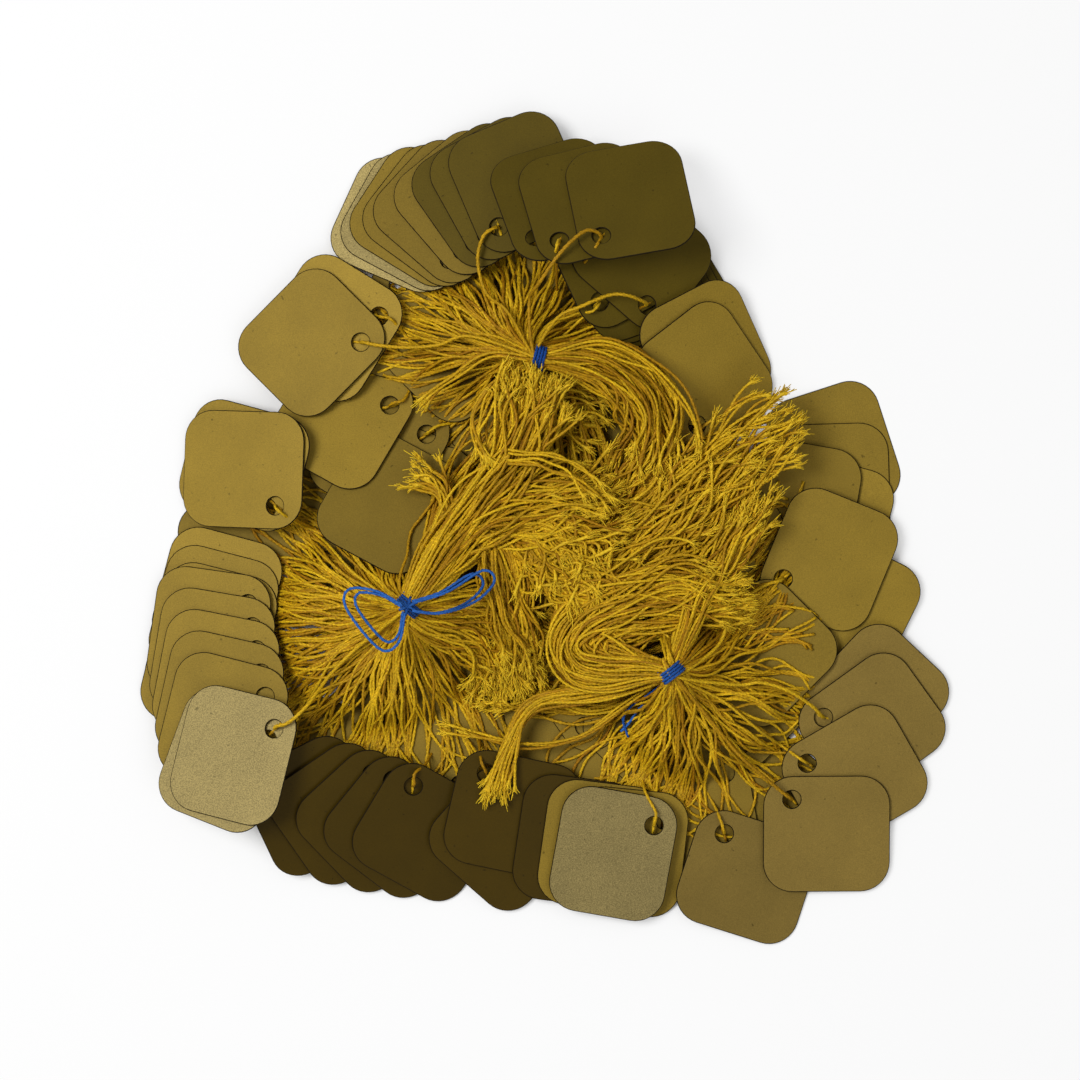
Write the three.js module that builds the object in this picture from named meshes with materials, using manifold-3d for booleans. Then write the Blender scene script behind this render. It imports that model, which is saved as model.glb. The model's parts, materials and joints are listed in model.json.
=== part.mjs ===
// A heap of three tied bundles of strung jewellery tags, lying on a table.
// Millimetres, +Z up, table at z = 0.
import * as THREE from "three";
import { mergeVertices } from "three/addons/utils/BufferGeometryUtils.js";
import Module from "manifold-3d";

// One tag: a card with rounded corners and a hole near one of them.
const TAG_LENGTH = 24;
const TAG_WIDTH = 22;
const CARD_THICKNESS = 0.4;
const PACKET_PRESS = 0.04;
const CORNER_RADIUS = 5.6;
const CORNER_STEPS = 3;
const HOLE_DIAMETER = 3.4;
const HOLE_STEPS = 8;
const HOLE_TO_END = 5.4;
const HOLE_TO_SIDE = 4.4;

// The cotton strings, and the blue thread that ties each bundle.
const STRING_DIAMETER = 1.1;
const STRING_SIDES = 8;
const STRING_STEP = 2.2;
const STRING_MARGIN = 0.8;
const THREAD_DIAMETER = 1.2;
const TIE_TURNS = 3;
const TIE_STEPS = 20;
const TIE_GROOVE = 0.48;
const KNOT_RADIUS = 1.8;
const KNOT_STEPS = [12, 8];

// The heap.
const REST_GAP = 0.34;
const FOOTPRINT_MARGIN = 0.5;
const FAN_HEIGHT = 9;
const FAN_RIDGES = 30;
const FAN_SLICES = 4;
const FAN_SLICE_SIDES = 20;
const FAN_SLICE_GROWTH = 1.02;
const FAN_RIDGE_DEPTH = 0.5;
const NECK_MARGIN = 1;
const NECK_INSET = 0.4;
const SHEAF_SIDES = 16;
const SHEAF_STEP = 3;
const SHEAF_OPENING = 0.35;
const STRAND_RIDGE = 0.07;
const TAUT_PASSES = 4;
const FAN_SWING = 6;
const TOP_SWING = 20;

const TAU = Math.PI * 2;
const TURN_PITCH = THREAD_DIAMETER * 0.9;
const radians = THREE.MathUtils.degToRad;
const wasm = await Module();
wasm.setup();

const finish = (color, roughness, metalness = 0) => (
  new THREE.MeshStandardMaterial({ color, roughness, metalness })
);
const cardMaterial = () => finish(0x91803a, 0.42, 0.7);
const stringMaterial = () => finish(0xc9a42a, 0.9);
const threadMaterial = () => finish(0x23509a, 0.75);

// Bundles: where each is tied, its fan of strings, its neck, and its loose sheaves.
const BUNDLES = {
  top: {
    tie: [0, 33.6],
    fan: { centre: [-4, 38], halfLength: 21, halfWidth: 12.5 },
    neckRadius: 3,
    neckFrom: [-8, 36],
    sheaves: [
      { halfWidth: 6, halfHeight: 3.2, route: [[11, 33.5], [19, 28], [22, 17.5], [17, 8.5], [9, 4]] },
    ],
  },
  left: {
    tie: [-24.3, -12.2],
    fan: { centre: [-30, -16], halfLength: 19.6, halfWidth: 19.5 },
    neckRadius: 3.6,
    neckFrom: [-30, -18],
    sheaves: [
      { halfWidth: 6.5, halfHeight: 3.6, route: [[-17, -2], [-8, 7], [0, 13], [8, 16]] },
    ],
  },
  right: {
    tie: [24.4, -24.4],
    fan: { centre: [30, -30], halfLength: 17, halfWidth: 15 },
    neckRadius: 3.2,
    neckFrom: [29, -31],
    sheaves: [
      { halfWidth: 5, halfHeight: 3, route: [[14, -18], [3, -14], [-7.6, -17], [-9.4, -28], [-8.4, -41]] },
      { halfWidth: 5, halfHeight: 2.8, route: [[26, -14], [32, -5], [38, 5], [46, 18]] },
    ],
  },
};

// Tags in the order in which they were laid. Each run goes from one placement to another:
// [hole x, hole y, turn]. The turn is the way that the long side points from the hole,
// anticlockwise from +X, seen from above. Joined cards are a packet, pressed on each other.
const RUNS = [
  { name: "middle_tag", from: [-21.4, 19.9, 243], to: [-19.5, 9.5, 242], count: 2 },
  { name: "inner_tag", from: [9, -40, 290], count: 1 },
  { name: "top_packet", from: [-22.5, 50.8, 156], to: [-17, 52.6, 138], count: 4, joined: true },
  { name: "top_fan_tag", from: [-14.5, 54.2, 130], to: [-7.7, 58.5, 113], count: 4 },
  { name: "back_packet", from: [20.6, 39.6, 124], to: [13.4, 42.2, 110], count: 4, joined: true },
  { name: "back_tag", from: [11, 44.4, 118], to: [19.9, 43.9, 143], count: 2, swing: 10 },
  { name: "front_tag", from: [-0.9, 55.7, 107], to: [3.6, 55.1, 104], count: 2 },
  { name: "front_top_tag", from: [11.3, 55.9, 100], count: 1, swing: TOP_SWING },
  { name: "west_tag", from: [-28.3, 25.3, 241], to: [-30.2, 42, 238], count: 2 },
  { name: "west_top_tag", from: [-33.6, 37.1, 225], count: 1, swing: TOP_SWING },
  { name: "left_packet", from: [-52.9, -6, 255], to: [-55.1, -18.8, 256], count: 4, joined: true },
  { name: "left_tag", from: [-54.9, -12, 262], to: [-51.4, -29.3, 256], count: 5 },
  { name: "upper_left_tag", from: [-51, 6, 166], to: [-49.5, 6.4, 178], count: 2, swing: 12 },
  { name: "bottom_tag", from: [-39.4, -41.3, 296], to: [-23.8, -46.1, 329], count: 5 },
  { name: "left_top_tag", from: [-50.6, -37.1, 250], to: [-49.3, -35.1, 257], count: 2, swing: 10 },
  { name: "bottom_dark_tag", from: [-7.5, -46.9, 318], to: [-10.1, -43.7, 347], count: 2 },
  { name: "lower_packet", from: [14.1, -51, 262], to: [23.6, -52.9, 264], count: 3, joined: true },
  { name: "lower_tag", from: [34.7, -55.3, 342], count: 1, swing: 10 },
  { name: "lower_top_tag", from: [21.4, -53.6, 260], count: 1, swing: TOP_SWING },
  { name: "upper_right_tag", from: [28.1, 26.3, 118], to: [29.4, 21.6, 128], count: 2 },
  { name: "right_packet", from: [51.2, 8.4, 108], to: [46.3, -1.7, 75], count: 3, joined: true },
  { name: "right_tag", from: [49.7, -16.1, 64], count: 1 },
  { name: "right_top_tag", from: [45.8, -7.3, 68], count: 1, swing: TOP_SWING },
  { name: "corner_tag", from: [54, -30, 47], to: [53.4, -33.4, 36], count: 2, swing: 10 },
  { name: "corner_lower_tag", from: [50.3, -42, 30], count: 1 },
  { name: "corner_top_tag", from: [47.4, -48.8, 0], count: 1, swing: TOP_SWING },
];

// Flat outlines, as lists of [x, y].

function tagOutline() {
  const points = [];
  const left = -HOLE_TO_END;
  const right = TAG_LENGTH - HOLE_TO_END;
  const top = HOLE_TO_SIDE;
  const bottom = HOLE_TO_SIDE - TAG_WIDTH;
  const corners = [
    [right, top, -1, -1],
    [left, top, 1, -1],
    [left, bottom, 1, 1],
    [right, bottom, -1, 1],
  ];
  corners.forEach(([x, y, inX, inY], corner) => {
    for (let i = 0; i <= CORNER_STEPS; i++) {
      const angle = TAU / 4 * (corner + i / CORNER_STEPS);
      points.push([
        x + CORNER_RADIUS * (inX + Math.cos(angle)),
        y + CORNER_RADIUS * (inY + Math.sin(angle)),
      ]);
    }
  });
  return points;
}

function circle(radius, steps) {
  return Array.from({ length: steps }, (_, i) => {
    const angle = TAU * i / steps;
    return [radius * Math.cos(angle), radius * Math.sin(angle)];
  });
}

function grown(polygon, margin) {
  const cx = polygon.reduce((sum, p) => sum + p[0], 0) / polygon.length;
  const cy = polygon.reduce((sum, p) => sum + p[1], 0) / polygon.length;
  return polygon.map(([x, y]) => {
    const reach = Math.hypot(x - cx, y - cy);
    return [cx + (x - cx) * (1 + margin / reach), cy + (y - cy) * (1 + margin / reach)];
  });
}

// The part of one convex outline that lies over another. Both run anticlockwise.
function overlap(subject, clip) {
  let inside = subject;
  for (let i = 0; i < clip.length && inside.length; i++) {
    const [ax, ay] = clip[i];
    const [bx, by] = clip[(i + 1) % clip.length];
    const side = ([x, y]) => (bx - ax) * (y - ay) - (by - ay) * (x - ax);
    const kept = [];
    inside.forEach((p, k) => {
      const q = inside[(k + 1) % inside.length];
      const sp = side(p);
      const sq = side(q);
      if (sp >= 0) kept.push(p);
      if (sp * sq < 0) {
        const t = sp / (sp - sq);
        kept.push([p[0] + (q[0] - p[0]) * t, p[1] + (q[1] - p[1]) * t]);
      }
    });
    inside = kept;
  }
  return inside;
}

// A plane is [a, b, c], with z = a x + b y + c.
const heightOn = ([a, b, c], x, y) => a * x + b * y + c;
const steepness = ([a, b]) => Math.hypot(a, b, 1);

function planeThrough([p, q, r]) {
  const u = [q[0] - p[0], q[1] - p[1], q[2] - p[2]];
  const v = [r[0] - p[0], r[1] - p[1], r[2] - p[2]];
  const det = u[0] * v[1] - u[1] * v[0];
  const a = (u[2] * v[1] - u[1] * v[2]) / det;
  const b = (u[0] * v[2] - u[2] * v[0]) / det;
  return [a, b, p[2] - a * p[0] - b * p[1]];
}

function shares([p, q, r], [x, y]) {
  const area = (a, b, c) => (b[0] - a[0]) * (c[1] - a[1]) - (b[1] - a[1]) * (c[0] - a[0]);
  const whole = area(p, q, r);
  return [area([x, y], q, r) / whole, area(p, [x, y], r) / whole, area(p, q, [x, y]) / whole];
}

// A card comes to rest on three feet around its centre: each foot in turn gives way to the
// point that pokes through the card most, until nothing pokes through.
function restingPlane(centre, points) {
  const far = 40 * TAG_LENGTH;
  let feet = circle(far, 3).map(([x, y]) => [centre[0] + x, centre[1] + y, -100 * far]);
  let plane = [0, 0, 0];
  for (let turn = 0; turn < 200; turn++) {
    plane = planeThrough(feet);
    let worst = null;
    let most = 1e-6;
    for (const p of points) {
      const above = p[2] - heightOn(plane, p[0], p[1]);
      if (above > most) {
        most = above;
        worst = p;
      }
    }
    if (!worst) break;
    const choices = [0, 1, 2].map((k) => feet.map((foot, i) => (i === k ? worst : foot)));
    const room = choices.map((choice) => {
      const least = Math.min(...shares(choice, centre));
      return Number.isFinite(least) ? least : -Infinity;
    });
    feet = choices[room.indexOf(Math.max(...room))];
  }
  return plane;
}

// Everything laid so far, as convex plates: { polygon, plane of the upper side }.
const laid = [];

function surfaceAt(x, y, margin, skippedNeck = null) {
  let highest = 0;
  for (const plate of laid) {
    if (skippedNeck && plate.neckOf === skippedNeck) continue;
    const probe = circle(margin, 6).map(([dx, dy]) => [x + dx, y + dy]);
    for (const [px, py] of overlap(probe, plate.polygon)) {
      highest = Math.max(highest, heightOn(plate.plane, px, py));
    }
  }
  return highest;
}

// A tag's frame: its hole, the direction of its long side in the card, and the card's normal.
function frameOn(plane, [x, y, turn]) {
  const normal = new THREE.Vector3(-plane[0], -plane[1], 1).normalize();
  const along = new THREE.Vector3(Math.cos(radians(turn)), Math.sin(radians(turn)), 0);
  along.addScaledVector(normal, -along.dot(normal)).normalize();
  const across = new THREE.Vector3().crossVectors(normal, along);
  const matrix = new THREE.Matrix4().makeBasis(along, across, normal);
  return matrix.setPosition(x, y, heightOn(plane, x, y));
}

function footprint(matrix, swing) {
  const turned = new THREE.Matrix4().makeRotationZ(radians(swing)).premultiply(matrix);
  return tagOutline().map(([x, y]) => {
    const p = new THREE.Vector3(x, y, 0).applyMatrix4(turned);
    return [p.x, p.y];
  });
}

// Lays one card, or a packet of cards pressed flat on each other, and gives each card's frame.
function layCards(placements, swing) {
  const centreX = TAG_LENGTH / 2 - HOLE_TO_END;
  const centreY = HOLE_TO_SIDE - TAG_WIDTH / 2;
  const turns = swing ? [-swing, 0, swing] : [0];
  let plane = [0, 0, 0];
  for (let round = 0; round < 4; round++) {
    const frames = placements.map((placement) => frameOn(plane, placement));
    const centre = new THREE.Vector3();
    frames.forEach((frame) => {
      centre.add(new THREE.Vector3(centreX, centreY, 0).applyMatrix4(frame));
    });
    centre.divideScalar(frames.length);
    const rise = REST_GAP * steepness(plane);
    const points = [];
    for (const turn of turns) {
      for (const frame of frames) {
        const area = grown(footprint(frame, turn), FOOTPRINT_MARGIN);
        area.forEach(([x, y]) => points.push([x, y, 0]));
        for (const plate of laid) {
          for (const [x, y] of overlap(area, plate.polygon)) {
            points.push([x, y, heightOn(plate.plane, x, y) + rise]);
          }
        }
      }
    }
    plane = restingPlane([centre.x, centre.y], points);
  }
  const thick = CARD_THICKNESS * steepness(plane);
  const pitch = (CARD_THICKNESS - PACKET_PRESS) * steepness(plane);
  return placements.map((placement, i) => {
    const under = [plane[0], plane[1], plane[2] + i * pitch];
    const frame = frameOn(under, placement);
    for (const turn of turns) {
      laid.push({ polygon: footprint(frame, turn), plane: [plane[0], plane[1], under[2] + thick] });
    }
    return frame;
  });
}

function tagGeometry(open = true) {
  const shape = new THREE.Shape(tagOutline().map(([x, y]) => new THREE.Vector2(x, y)));
  const rim = circle(HOLE_DIAMETER / 2, HOLE_STEPS).map(([x, y]) => new THREE.Vector2(x, y));
  if (open) shape.holes.push(new THREE.Path(rim.reverse()));
  return new THREE.ExtrudeGeometry(shape, { depth: CARD_THICKNESS, bevelEnabled: false });
}

// Joining.

function toSolid(geometry) {
  const bare = geometry.clone();
  bare.deleteAttribute("normal");
  bare.deleteAttribute("uv");
  const merged = mergeVertices(bare, 1e-4);
  return new wasm.Manifold(new wasm.Mesh({
    numProp: 3,
    vertProperties: merged.attributes.position.array,
    triVerts: new Uint32Array(merged.index.array),
  }));
}

function fromSolid(solid) {
  const mesh = solid.getMesh();
  const geometry = new THREE.BufferGeometry();
  geometry.setAttribute("position", new THREE.BufferAttribute(mesh.vertProperties, 3));
  geometry.setIndex(new THREE.BufferAttribute(mesh.triVerts, 1));
  const flat = geometry.toNonIndexed();
  flat.computeVertexNormals();
  return flat;
}

function joinAll(geometries) {
  return fromSolid(geometries.map(toSolid).reduce((whole, next) => whole.add(next)));
}

// A closed skin over a stack of rings that have as many points each, closed by a point at each end.
function skin(rings, start, end) {
  const sides = rings[0].length;
  const positions = [...rings.flat(), start, end].flatMap((p) => p.toArray());
  const index = [];
  const startPoint = rings.length * sides;
  const endPoint = startPoint + 1;
  for (let i = 0; i < sides; i++) {
    const next = (i + 1) % sides;
    index.push(startPoint, next, i);
    for (let r = 0; r + 1 < rings.length; r++) {
      const low = r * sides;
      const high = low + sides;
      index.push(low + i, low + next, high + next, low + i, high + next, high + i);
    }
    index.push(endPoint, (rings.length - 1) * sides + i, (rings.length - 1) * sides + next);
  }
  const geometry = new THREE.BufferGeometry();
  geometry.setAttribute("position", new THREE.Float32BufferAttribute(positions, 3));
  geometry.setIndex(index);
  return geometry;
}

// The strings of one bundle.

// The fan: a low dome with a ridge for every few strings.
// Its rings are [share of the half sizes, share of the height].
const FAN_RINGS = [[0.9, 0], [1, 0.12], [0.96, 0.5], [0.78, 0.84], [0.4, 1]];

function fanPoint(fan, share, height, angle, ridge) {
  const ripple = 1 - (ridge * FAN_RIDGE_DEPTH) / fan.halfWidth;
  return new THREE.Vector3(
    fan.centre[0] + fan.halfLength * share * ripple * Math.cos(angle),
    fan.centre[1] + fan.halfWidth * share * ripple * Math.sin(angle),
    height * FAN_HEIGHT,
  );
}

function fanGeometry(fan) {
  const points = 2 * FAN_RIDGES;
  const rings = FAN_RINGS.map(([share, height]) => Array.from({ length: points }, (_, i) => (
    fanPoint(fan, share, height, TAU * i / points, i % 2)
  )));
  return skin(rings, fanPoint(fan, 0, 0, 0, 0), fanPoint(fan, 0, 1, 0, 0));
}

// The fan's dome, laid as a stack of slices that are a little larger than it.
function layFan(fan) {
  for (let i = 1; i + 1 < FAN_RINGS.length; i++) {
    for (let part = 1; part <= FAN_SLICES; part++) {
      const [share, height] = [0, 1].map((k) => (
        THREE.MathUtils.lerp(FAN_RINGS[i][k], FAN_RINGS[i + 1][k], part / FAN_SLICES)
      ));
      const polygon = circle(1, FAN_SLICE_SIDES).map(([x, y]) => {
        const p = fanPoint(fan, share * FAN_SLICE_GROWTH, height, Math.atan2(y, x), 0);
        return [p.x, p.y];
      });
      laid.push({ polygon, plane: [0, 0, height * FAN_HEIGHT] });
    }
  }
}

// Where a bundle's strings pass through the tie, just above its fan, and which way they run there.
function neckOf(bundle) {
  const tie = new THREE.Vector2(...bundle.tie);
  const way = tie.clone().sub(new THREE.Vector2(...bundle.neckFrom)).normalize();
  const height = FAN_HEIGHT + THREAD_DIAMETER + 2 * REST_GAP + bundle.neckRadius;
  return { tie, way, height, halfBand: TIE_TURNS * TURN_PITCH / 2 };
}

function layNeck(bundle) {
  const neck = neckOf(bundle);
  const reach = bundle.neckRadius + REST_GAP + THREAD_DIAMETER;
  const side = new THREE.Vector2(-neck.way.y, neck.way.x).multiplyScalar(reach);
  const enter = new THREE.Vector2(...bundle.neckFrom);
  const leave = neck.tie.clone().addScaledVector(neck.way, neck.halfBand + NECK_MARGIN);
  const corners = [[enter, 1], [enter, -1], [leave, -1], [leave, 1]].map(([end, sign]) => (
    end.clone().addScaledVector(side, sign)
  ));
  const polygon = corners.map((p) => [p.x, p.y]);
  laid.push({ polygon, plane: [0, 0, neck.height + reach], neckOf: bundle });
}

// Heights over a row of floors, as a string pulled over them would have: never below one,
// and with no sharp dips.
function pulledTaut(floors) {
  let heights = floors.map((_, i) => Math.max(...floors.slice(Math.max(0, i - 1), i + 2)));
  for (let pass = 0; pass < TAUT_PASSES; pass++) {
    heights = heights.map((height, i) => {
      const before = heights[i - 1] ?? height;
      const after = heights[i + 1] ?? height;
      return Math.max(height, (before + after) / 2);
    });
  }
  return heights;
}

// A sheaf runs from inside the fan through the tie and on over whatever lies in its way.
function sheafStations(bundle, sheaf, number) {
  const neck = neckOf(bundle);
  const straight = neck.halfBand + NECK_MARGIN;
  const leave = neck.tie.clone().addScaledVector(neck.way, straight);
  const enter = neck.tie.clone().addScaledVector(neck.way, -straight);
  // Each further sheaf lies inside the first one's skin where they share the neck.
  const radius = bundle.neckRadius - NECK_INSET * number;
  const acrossNeck = new THREE.Vector3(-neck.way.y, neck.way.x, 0);
  const inNeck = (x, y, z) => ({
    point: new THREE.Vector3(x, y, z), side: acrossNeck, halfWidth: radius, halfHeight: radius,
  });
  const plan = [[leave.x, leave.y], ...sheaf.route].map(([x, y]) => new THREE.Vector3(x, y, 0));
  const curve = new THREE.CatmullRomCurve3(plan, false, "centripetal");
  const steps = Math.round(curve.getLength() / SHEAF_STEP);
  const free = curve.getSpacedPoints(steps).slice(1).map((point, i) => {
    const share = (i + 1) / steps;
    const tangent = curve.getTangentAt(share);
    const open = THREE.MathUtils.smoothstep(share, 0, SHEAF_OPENING);
    return {
      point,
      side: new THREE.Vector3(-tangent.y, tangent.x, 0).normalize(),
      halfWidth: THREE.MathUtils.lerp(radius, sheaf.halfWidth, open),
      halfHeight: THREE.MathUtils.lerp(radius, sheaf.halfHeight, open),
    };
  });
  const floors = free.map(({ point, side, halfWidth }) => {
    let highest = 0;
    for (const across of [-1, -0.6, -0.2, 0.2, 0.6, 1]) {
      const at = point.clone().addScaledVector(side, across * halfWidth);
      highest = Math.max(highest, surfaceAt(at.x, at.y, SHEAF_STEP, bundle));
    }
    return highest;
  });
  pulledTaut(floors).forEach((floor, i) => {
    free[i].point.z = floor + REST_GAP + free[i].halfHeight;
  });
  return [
    inNeck(...bundle.neckFrom, FAN_HEIGHT - bundle.neckRadius),
    inNeck(enter.x, enter.y, neck.height),
    inNeck(leave.x, leave.y, neck.height),
    ...free,
  ];
}

function sheafGeometry(stations) {
  const rings = stations.map(({ point, side, halfWidth, halfHeight }) => (
    Array.from({ length: SHEAF_SIDES }, (_, i) => {
      const angle = TAU * i / SHEAF_SIDES;
      const ridge = 1 - STRAND_RIDGE * (i % 2);
      return point.clone()
        .addScaledVector(side, halfWidth * ridge * Math.cos(angle))
        .setZ(point.z + halfHeight * ridge * Math.sin(angle));
    })
  ));
  return skin(rings, stations[0].point, stations[stations.length - 1].point);
}

function laySheaf(stations) {
  for (let i = 0; i + 1 < stations.length; i++) {
    const [from, to] = [stations[i], stations[i + 1]];
    const corners = [[from, -1], [from, 1], [to, 1], [to, -1]].map(([station, sign]) => (
      station.point.clone().addScaledVector(station.side, -sign * station.halfWidth)
    ));
    const top = Math.max(from.point.z + from.halfHeight, to.point.z + to.halfHeight);
    laid.push({ polygon: corners.map((p) => [p.x, p.y]), plane: [0, 0, top] });
  }
}

// The blue thread: turns side by side round the neck, drawn as one band with a groove between turns.
function tieGeometry(bundle) {
  const neck = neckOf(bundle);
  const inner = bundle.neckRadius + REST_GAP;
  const outer = inner + THREAD_DIAMETER;
  const groove = outer - TIE_GROOVE;
  const profile = [
    new THREE.Vector2(inner, neck.halfBand),
    new THREE.Vector2(inner, -neck.halfBand),
  ];
  for (let turn = 0; turn < TIE_TURNS; turn++) {
    const low = turn * TURN_PITCH - neck.halfBand;
    profile.push(new THREE.Vector2(groove, low));
    profile.push(new THREE.Vector2(outer, low + TURN_PITCH * 0.3));
    profile.push(new THREE.Vector2(outer, low + TURN_PITCH * 0.7));
  }
  profile.push(new THREE.Vector2(groove, neck.halfBand), profile[0].clone());
  const geometry = new THREE.LatheGeometry(profile, TIE_STEPS);
  const axis = new THREE.Vector3(neck.way.x, neck.way.y, 0);
  const turn = new THREE.Quaternion().setFromUnitVectors(new THREE.Vector3(0, 1, 0), axis);
  geometry.applyQuaternion(turn);
  return geometry.translate(neck.tie.x, neck.tie.y, neck.height);
}

// Strings and thread ends: round tubes that lie on what is beneath them.

function tube(points, diameter) {
  const curve = new THREE.CatmullRomCurve3(points, false, "centripetal");
  const rim = circle(diameter / 2, STRING_SIDES).map(([x, y]) => new THREE.Vector2(x, y));
  const section = new THREE.Shape(rim);
  const steps = Math.ceil(curve.getLength() / STRING_STEP);
  return new THREE.ExtrudeGeometry(section, { steps, bevelEnabled: false, extrudePath: curve });
}

function lieAlong(plan, diameter) {
  const corners = plan.map(([x, y]) => new THREE.Vector3(x, y, 0));
  const flat = new THREE.CatmullRomCurve3(corners, false, "centripetal");
  const points = flat.getSpacedPoints(Math.ceil(flat.getLength() / STRING_STEP));
  const floors = points.map((p) => surfaceAt(p.x, p.y, STRING_STEP * STRING_MARGIN));
  pulledTaut(floors).forEach((floor, i) => points[i].setZ(floor + REST_GAP + diameter / 2));
  return points;
}

// A string comes in over the card on the tie's side of the hole, and dips into the hole.
function stringGeometry(string, frame) {
  const back = string.route[string.route.length - 1];
  const inCard = new THREE.Vector3(back[0], back[1], 0).applyMatrix4(frame.clone().invert());
  inCard.setZ(0).normalize();
  const over = CARD_THICKNESS + REST_GAP + STRING_DIAMETER / 2;
  const end = STRING_DIP.map(([reach, height]) => [reach * STRING_DIAMETER, over * height]);
  const points = end.map(([reach, height]) => (
    inCard.clone().multiplyScalar(reach).setZ(height).applyMatrix4(frame)
  ));
  return tube([...lieAlong(string.route, STRING_DIAMETER), ...points], STRING_DIAMETER);
}

// Its last points: [distance from the hole's middle in diameters, share of the height over the card].
const STRING_DIP = [[2.4, 1.4], [0.7, 1.3], [0, 0.25]];

const STRINGS = [
  { tag: "top_fan_tag_4", route: [[-6, 42.5], [-10, 46], [-11.6, 52], [-10.6, 56.6]] },
  { tag: "front_top_tag", route: [[-2, 44], [0, 47.5], [4, 53], [8, 56.6]] },
  { tag: "back_tag_2", route: [[3, 41], [8, 43.5], [13, 45.5], [16.4, 45.4]] },
  { tag: "west_top_tag", route: [[-13, 38], [-19, 36.4], [-25, 36], [-30, 36.4]] },
  { tag: "left_top_tag_2", route: [[-34, -20], [-39, -25], [-43, -30.5], [-46.6, -33.8]] },
  { tag: "right_top_tag", route: [[33, -20], [35.5, -14.5], [39, -10.5], [42.6, -8.4]] },
  { tag: "corner_tag_2", route: [[36.5, -27], [41, -26.6], [46, -28], [50.8, -31]] },
  { tag: "corner_top_tag", route: [[34.5, -37], [37.5, -40.5], [41, -43.6], [44.8, -46.8]] },
];

// The left bundle's thread ends in a bow, which lies on the strings beside the tie.
const BOW_LOOPS = [
  [
    [-25.2, -12], [-30, -9.4], [-35, -9], [-35.8, -12],
    [-32, -17.5], [-28.5, -20.4], [-25.8, -18.5], [-24.8, -13.4],
  ],
  [
    [-23.4, -11.6], [-17, -9.5], [-10.5, -5.6], [-8.4, -7.6],
    [-12, -11.4], [-18, -13.4], [-23.4, -13],
  ],
];

function bowGeometry(bundle) {
  const neck = neckOf(bundle);
  const middle = neck.height + bundle.neckRadius + REST_GAP + 1.5 * THREAD_DIAMETER;
  const knot = new THREE.SphereGeometry(KNOT_RADIUS, ...KNOT_STEPS);
  knot.translate(neck.tie.x, neck.tie.y, middle);
  const loops = BOW_LOOPS.map((loop) => {
    const points = lieAlong(loop, THREAD_DIAMETER);
    [points[0], points[points.length - 1]].forEach((end) => end.setZ(middle));
    return tube(points, THREAD_DIAMETER);
  });
  return [knot, ...loops];
}

// Build it, from the table up.
const group = new THREE.Group();

function addMesh(name, geometry, material) {
  const mesh = new THREE.Mesh(geometry, material);
  mesh.name = name;
  group.add(mesh);
  return mesh;
}

for (const bundle of Object.values(BUNDLES)) {
  layFan(bundle.fan);
  layNeck(bundle);
}

const frames = {};

for (const run of RUNS) {
  const to = run.to ?? run.from;
  const placements = Array.from({ length: run.count }, (_, i) => (
    run.from.map((value, k) => value + (to[k] - value) * i / Math.max(1, run.count - 1))
  ));
  if (run.joined) {
    // Only the outer cards' holes show: one between two cards would be a sealed hollow.
    const cards = layCards(placements, 0).map((frame, i) => (
      tagGeometry(i === 0 || i === run.count - 1).applyMatrix4(frame)
    ));
    addMesh(run.name, joinAll(cards), cardMaterial());
    continue;
  }
  placements.forEach((placement, i) => {
    const [frame] = layCards([placement], run.swing ?? FAN_SWING);
    const name = run.count > 1 ? run.name + "_" + (i + 1) : run.name;
    addMesh(name, tagGeometry(), cardMaterial()).applyMatrix4(frame);
    frames[name] = frame;
  });
}

for (const [name, bundle] of Object.entries(BUNDLES)) {
  const sheaves = bundle.sheaves.map((sheaf, number) => sheafStations(bundle, sheaf, number));
  sheaves.forEach(laySheaf);
  const solids = [fanGeometry(bundle.fan), ...sheaves.map(sheafGeometry)];
  addMesh(name + "_strings", joinAll(solids), stringMaterial());
}

for (const [name, bundle] of Object.entries(BUNDLES)) {
  const bow = bundle === BUNDLES.left ? bowGeometry(bundle) : [];
  addMesh(name + "_tie_thread", joinAll([tieGeometry(bundle), ...bow]), threadMaterial());
}

for (const string of STRINGS) {
  addMesh(string.tag + "_string", stringGeometry(string, frames[string.tag]), stringMaterial());
}

// The origin is under the middle of the heap, on the table. The single strings don't count.
const box = new THREE.Box3();
group.updateMatrixWorld(true);
for (const mesh of group.children) {
  if (!mesh.name.endsWith("_string")) box.expandByObject(mesh, true);
}
const middle = box.getCenter(new THREE.Vector3());
group.position.set(-middle.x, -middle.y, -box.min.z);

export default group;
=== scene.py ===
import json
import math
import random

import bmesh
import bpy
import numpy as np
from mathutils import Matrix, Vector
from mathutils.bvhtree import BVHTree


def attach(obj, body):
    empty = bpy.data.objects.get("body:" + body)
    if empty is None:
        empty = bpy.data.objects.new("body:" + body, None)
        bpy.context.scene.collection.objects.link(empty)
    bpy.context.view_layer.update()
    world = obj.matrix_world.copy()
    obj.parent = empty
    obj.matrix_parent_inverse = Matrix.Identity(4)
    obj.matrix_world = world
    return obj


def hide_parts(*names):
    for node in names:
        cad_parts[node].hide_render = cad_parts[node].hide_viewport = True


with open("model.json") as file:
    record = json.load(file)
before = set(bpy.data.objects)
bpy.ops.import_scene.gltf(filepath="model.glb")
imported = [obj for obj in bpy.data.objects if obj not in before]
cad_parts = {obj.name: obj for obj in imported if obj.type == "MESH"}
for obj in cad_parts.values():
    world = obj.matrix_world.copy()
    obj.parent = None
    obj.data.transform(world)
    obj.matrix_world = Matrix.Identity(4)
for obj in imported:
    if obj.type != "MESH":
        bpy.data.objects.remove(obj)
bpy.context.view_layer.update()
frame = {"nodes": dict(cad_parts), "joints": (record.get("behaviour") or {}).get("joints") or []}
mm = 0.001
chance = random.Random(41)
print("frame loaded:", len(frame["nodes"]), "nodes")

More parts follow.
